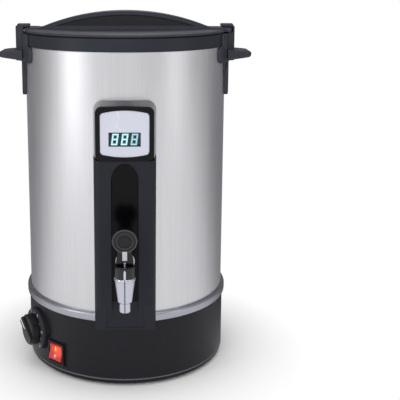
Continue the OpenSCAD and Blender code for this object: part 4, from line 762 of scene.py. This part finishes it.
# fine marks every 27 degrees round the dial, with plain numbers from 30 to 110 at every other one
mark_white = plastic("mark_white", srgb(226, 226, 230), roughness=0.4, cloud=0.1)
mark_t = 0.08 * mm
mark_steps = 10
mark_sweep = radians(270)
tick_size = (0.45 * mm, 1.4 * mm, mark_t * 2)
tick_r = 18.4 * mm
number_tall = 2.7 * mm
number_r = 20.9 * mm
first_number = 30
number_step = 8
dial_face = facing(radians(-61), distance=116.4 * mm, height=42 * mm)
dial_marks = bmesh.new()
for step in range(mark_steps + 1):
    turned = dial_face @ Matrix.Rotation(mark_sweep / 2 - mark_sweep * step / mark_steps, 4, "Z")
    tick = bmesh.ops.create_cube(dial_marks, size=1)["verts"]
    bmesh.ops.scale(dial_marks, vec=tick_size, verts=tick)
    bmesh.ops.transform(dial_marks, matrix=turned @ Matrix.Translation((0, tick_r, 0)), verts=tick)
    if step % 2 == 0:
        words = bpy.data.curves.new("dial_number", "FONT")
        words.body = str(first_number + number_step * step)
        words.size = number_tall
        words.extrude = mark_t
        words.align_x = "CENTER"
        words.align_y = "CENTER"
        holder = bpy.data.objects.new("dial_number", words)
        number_mesh = bpy.data.meshes.new_from_object(holder)
        bpy.data.objects.remove(holder)
        known = len(dial_marks.verts)
        dial_marks.from_mesh(number_mesh)
        dial_marks.verts.ensure_lookup_table()
        bmesh.ops.transform(dial_marks, matrix=turned @ Matrix.Translation((0, number_r, 0)),
                            verts=dial_marks.verts[known:])
bmesh.ops.remove_doubles(dial_marks, verts=dial_marks.verts, dist=0.001 * mm)
add_piece("dial_marks", dial_marks, mark_white, "urn", smooth_below=10)

# ------------------------------------------------------------------ rocker switch
# A black frame clipped in the base holds a red rocker on a pivot, and a small lamp inside makes it glow.
# A bar on the rocker's upper face marks on, and a ring on its lower face marks off.

switch_black = plastic("switch_black", srgb(12, 12, 14), roughness=0.3)
softened("switch_housing", 0.4 * mm, switch_black)
rocker_low, rocker_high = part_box("switch_rocker")
rocker_middle = (rocker_low + rocker_high) / 2
glow_z = rocker_middle.z + 3 * mm
glow_r = 6 * mm
rocker_finish = Finish(bpy.data.materials.new("rocker_red"), constants={
    "Coat Weight": 0.3, "Coat Roughness": 0.1, "Emission Strength": 0.8})
lit = rocker_finish.noise(scale=90, detail=2)
glow_up = (rocker_finish.axis("Z") - glow_z) / glow_r
glow_side = (rocker_finish.axis("X") - rocker_middle.x) / glow_r
glow = (1.2 - (glow_up * glow_up + glow_side * glow_side).root()).held()
rocker_finish.feed(rocker_finish.surface, {
    "Base Color": rocker_finish.tint(lit, srgb(168, 14, 16), srgb(196, 28, 24)),
    "Emission Color": rocker_finish.tint(glow, srgb(96, 8, 8), srgb(250, 96, 24)),
    "Roughness": 0.22 + (lit - 0.5) * 0.1,
    "Normal": rocker_finish.bump(rocker_finish.noise(scale=1500, detail=1), 0.006 * mm),
})
softened("switch_rocker", 0.5 * mm, rocker_finish.owner)

# the rocker's two faces slope towards its middle, and at rest its upper half is pressed in
face_y = 4.03 * mm
face_lift = 4.32 * mm
face_slope = radians(10)
rest_tip = Matrix.Rotation(radians(-8), 4, "X")
rocker_pivot = facing(radians(-42), distance=109.8 * mm, height=26 * mm) @ rest_tip


def on_rocker(side):
    """The middle of the rocker's upper face for side 1, and of its lower face for side -1."""
    lift = Matrix.Translation((0, side * face_y, face_lift))
    return rocker_pivot @ lift @ Matrix.Rotation(side * face_slope, 4, "X")


bar_material = bpy.data.materials.new("bar_glow")
bar_finish = Finish(bar_material, constants={"Emission Strength": 0.9})
warm = bar_finish.noise(scale=300, detail=2)
bar_finish.feed(bar_finish.surface, {
    "Base Color": bar_finish.tint(warm, srgb(250, 190, 90), srgb(255, 214, 130)),
    "Emission Color": bar_finish.tint(warm, srgb(250, 180, 60), srgb(255, 206, 90)),
    "Roughness": 0.34 + warm * 0.12,
    "Normal": bar_finish.bump(warm, 0.005 * mm),
})
bar_size = (1.1 * mm, 4.6 * mm, mark_t * 2)
bar_form = bmesh.new()
bmesh.ops.create_cube(bar_form, size=1)
bmesh.ops.scale(bar_form, vec=bar_size, verts=bar_form.verts)
bmesh.ops.transform(bar_form, matrix=on_rocker(1), verts=bar_form.verts)
add_piece("rocker_bar", bar_form, bar_material, "rocker")
ring_in = 1.1 * mm
ring_out = 1.65 * mm
ring_form = spun([(ring_in, -mark_t), (ring_out, -mark_t), (ring_out, mark_t), (ring_in, mark_t)], steps=32)
bmesh.ops.transform(ring_form, matrix=on_rocker(-1), verts=ring_form.verts)
add_piece("rocker_ring", ring_form, mark_white, "rocker")

# ------------------------------------------------------------------ mains inlet
# A black moulded socket at the back of the base, with three brass pins that the leads inside start from.
# Two screws hold it to its pad.

softened("inlet_socket", 0.5 * mm, switch_black)
brass = brushed_steel("pin_brass", srgb(208, 190, 130), roughness=0.3, grain=1000, stretch=(1, 0.1, 1))
paint(brass, "inlet_pins")
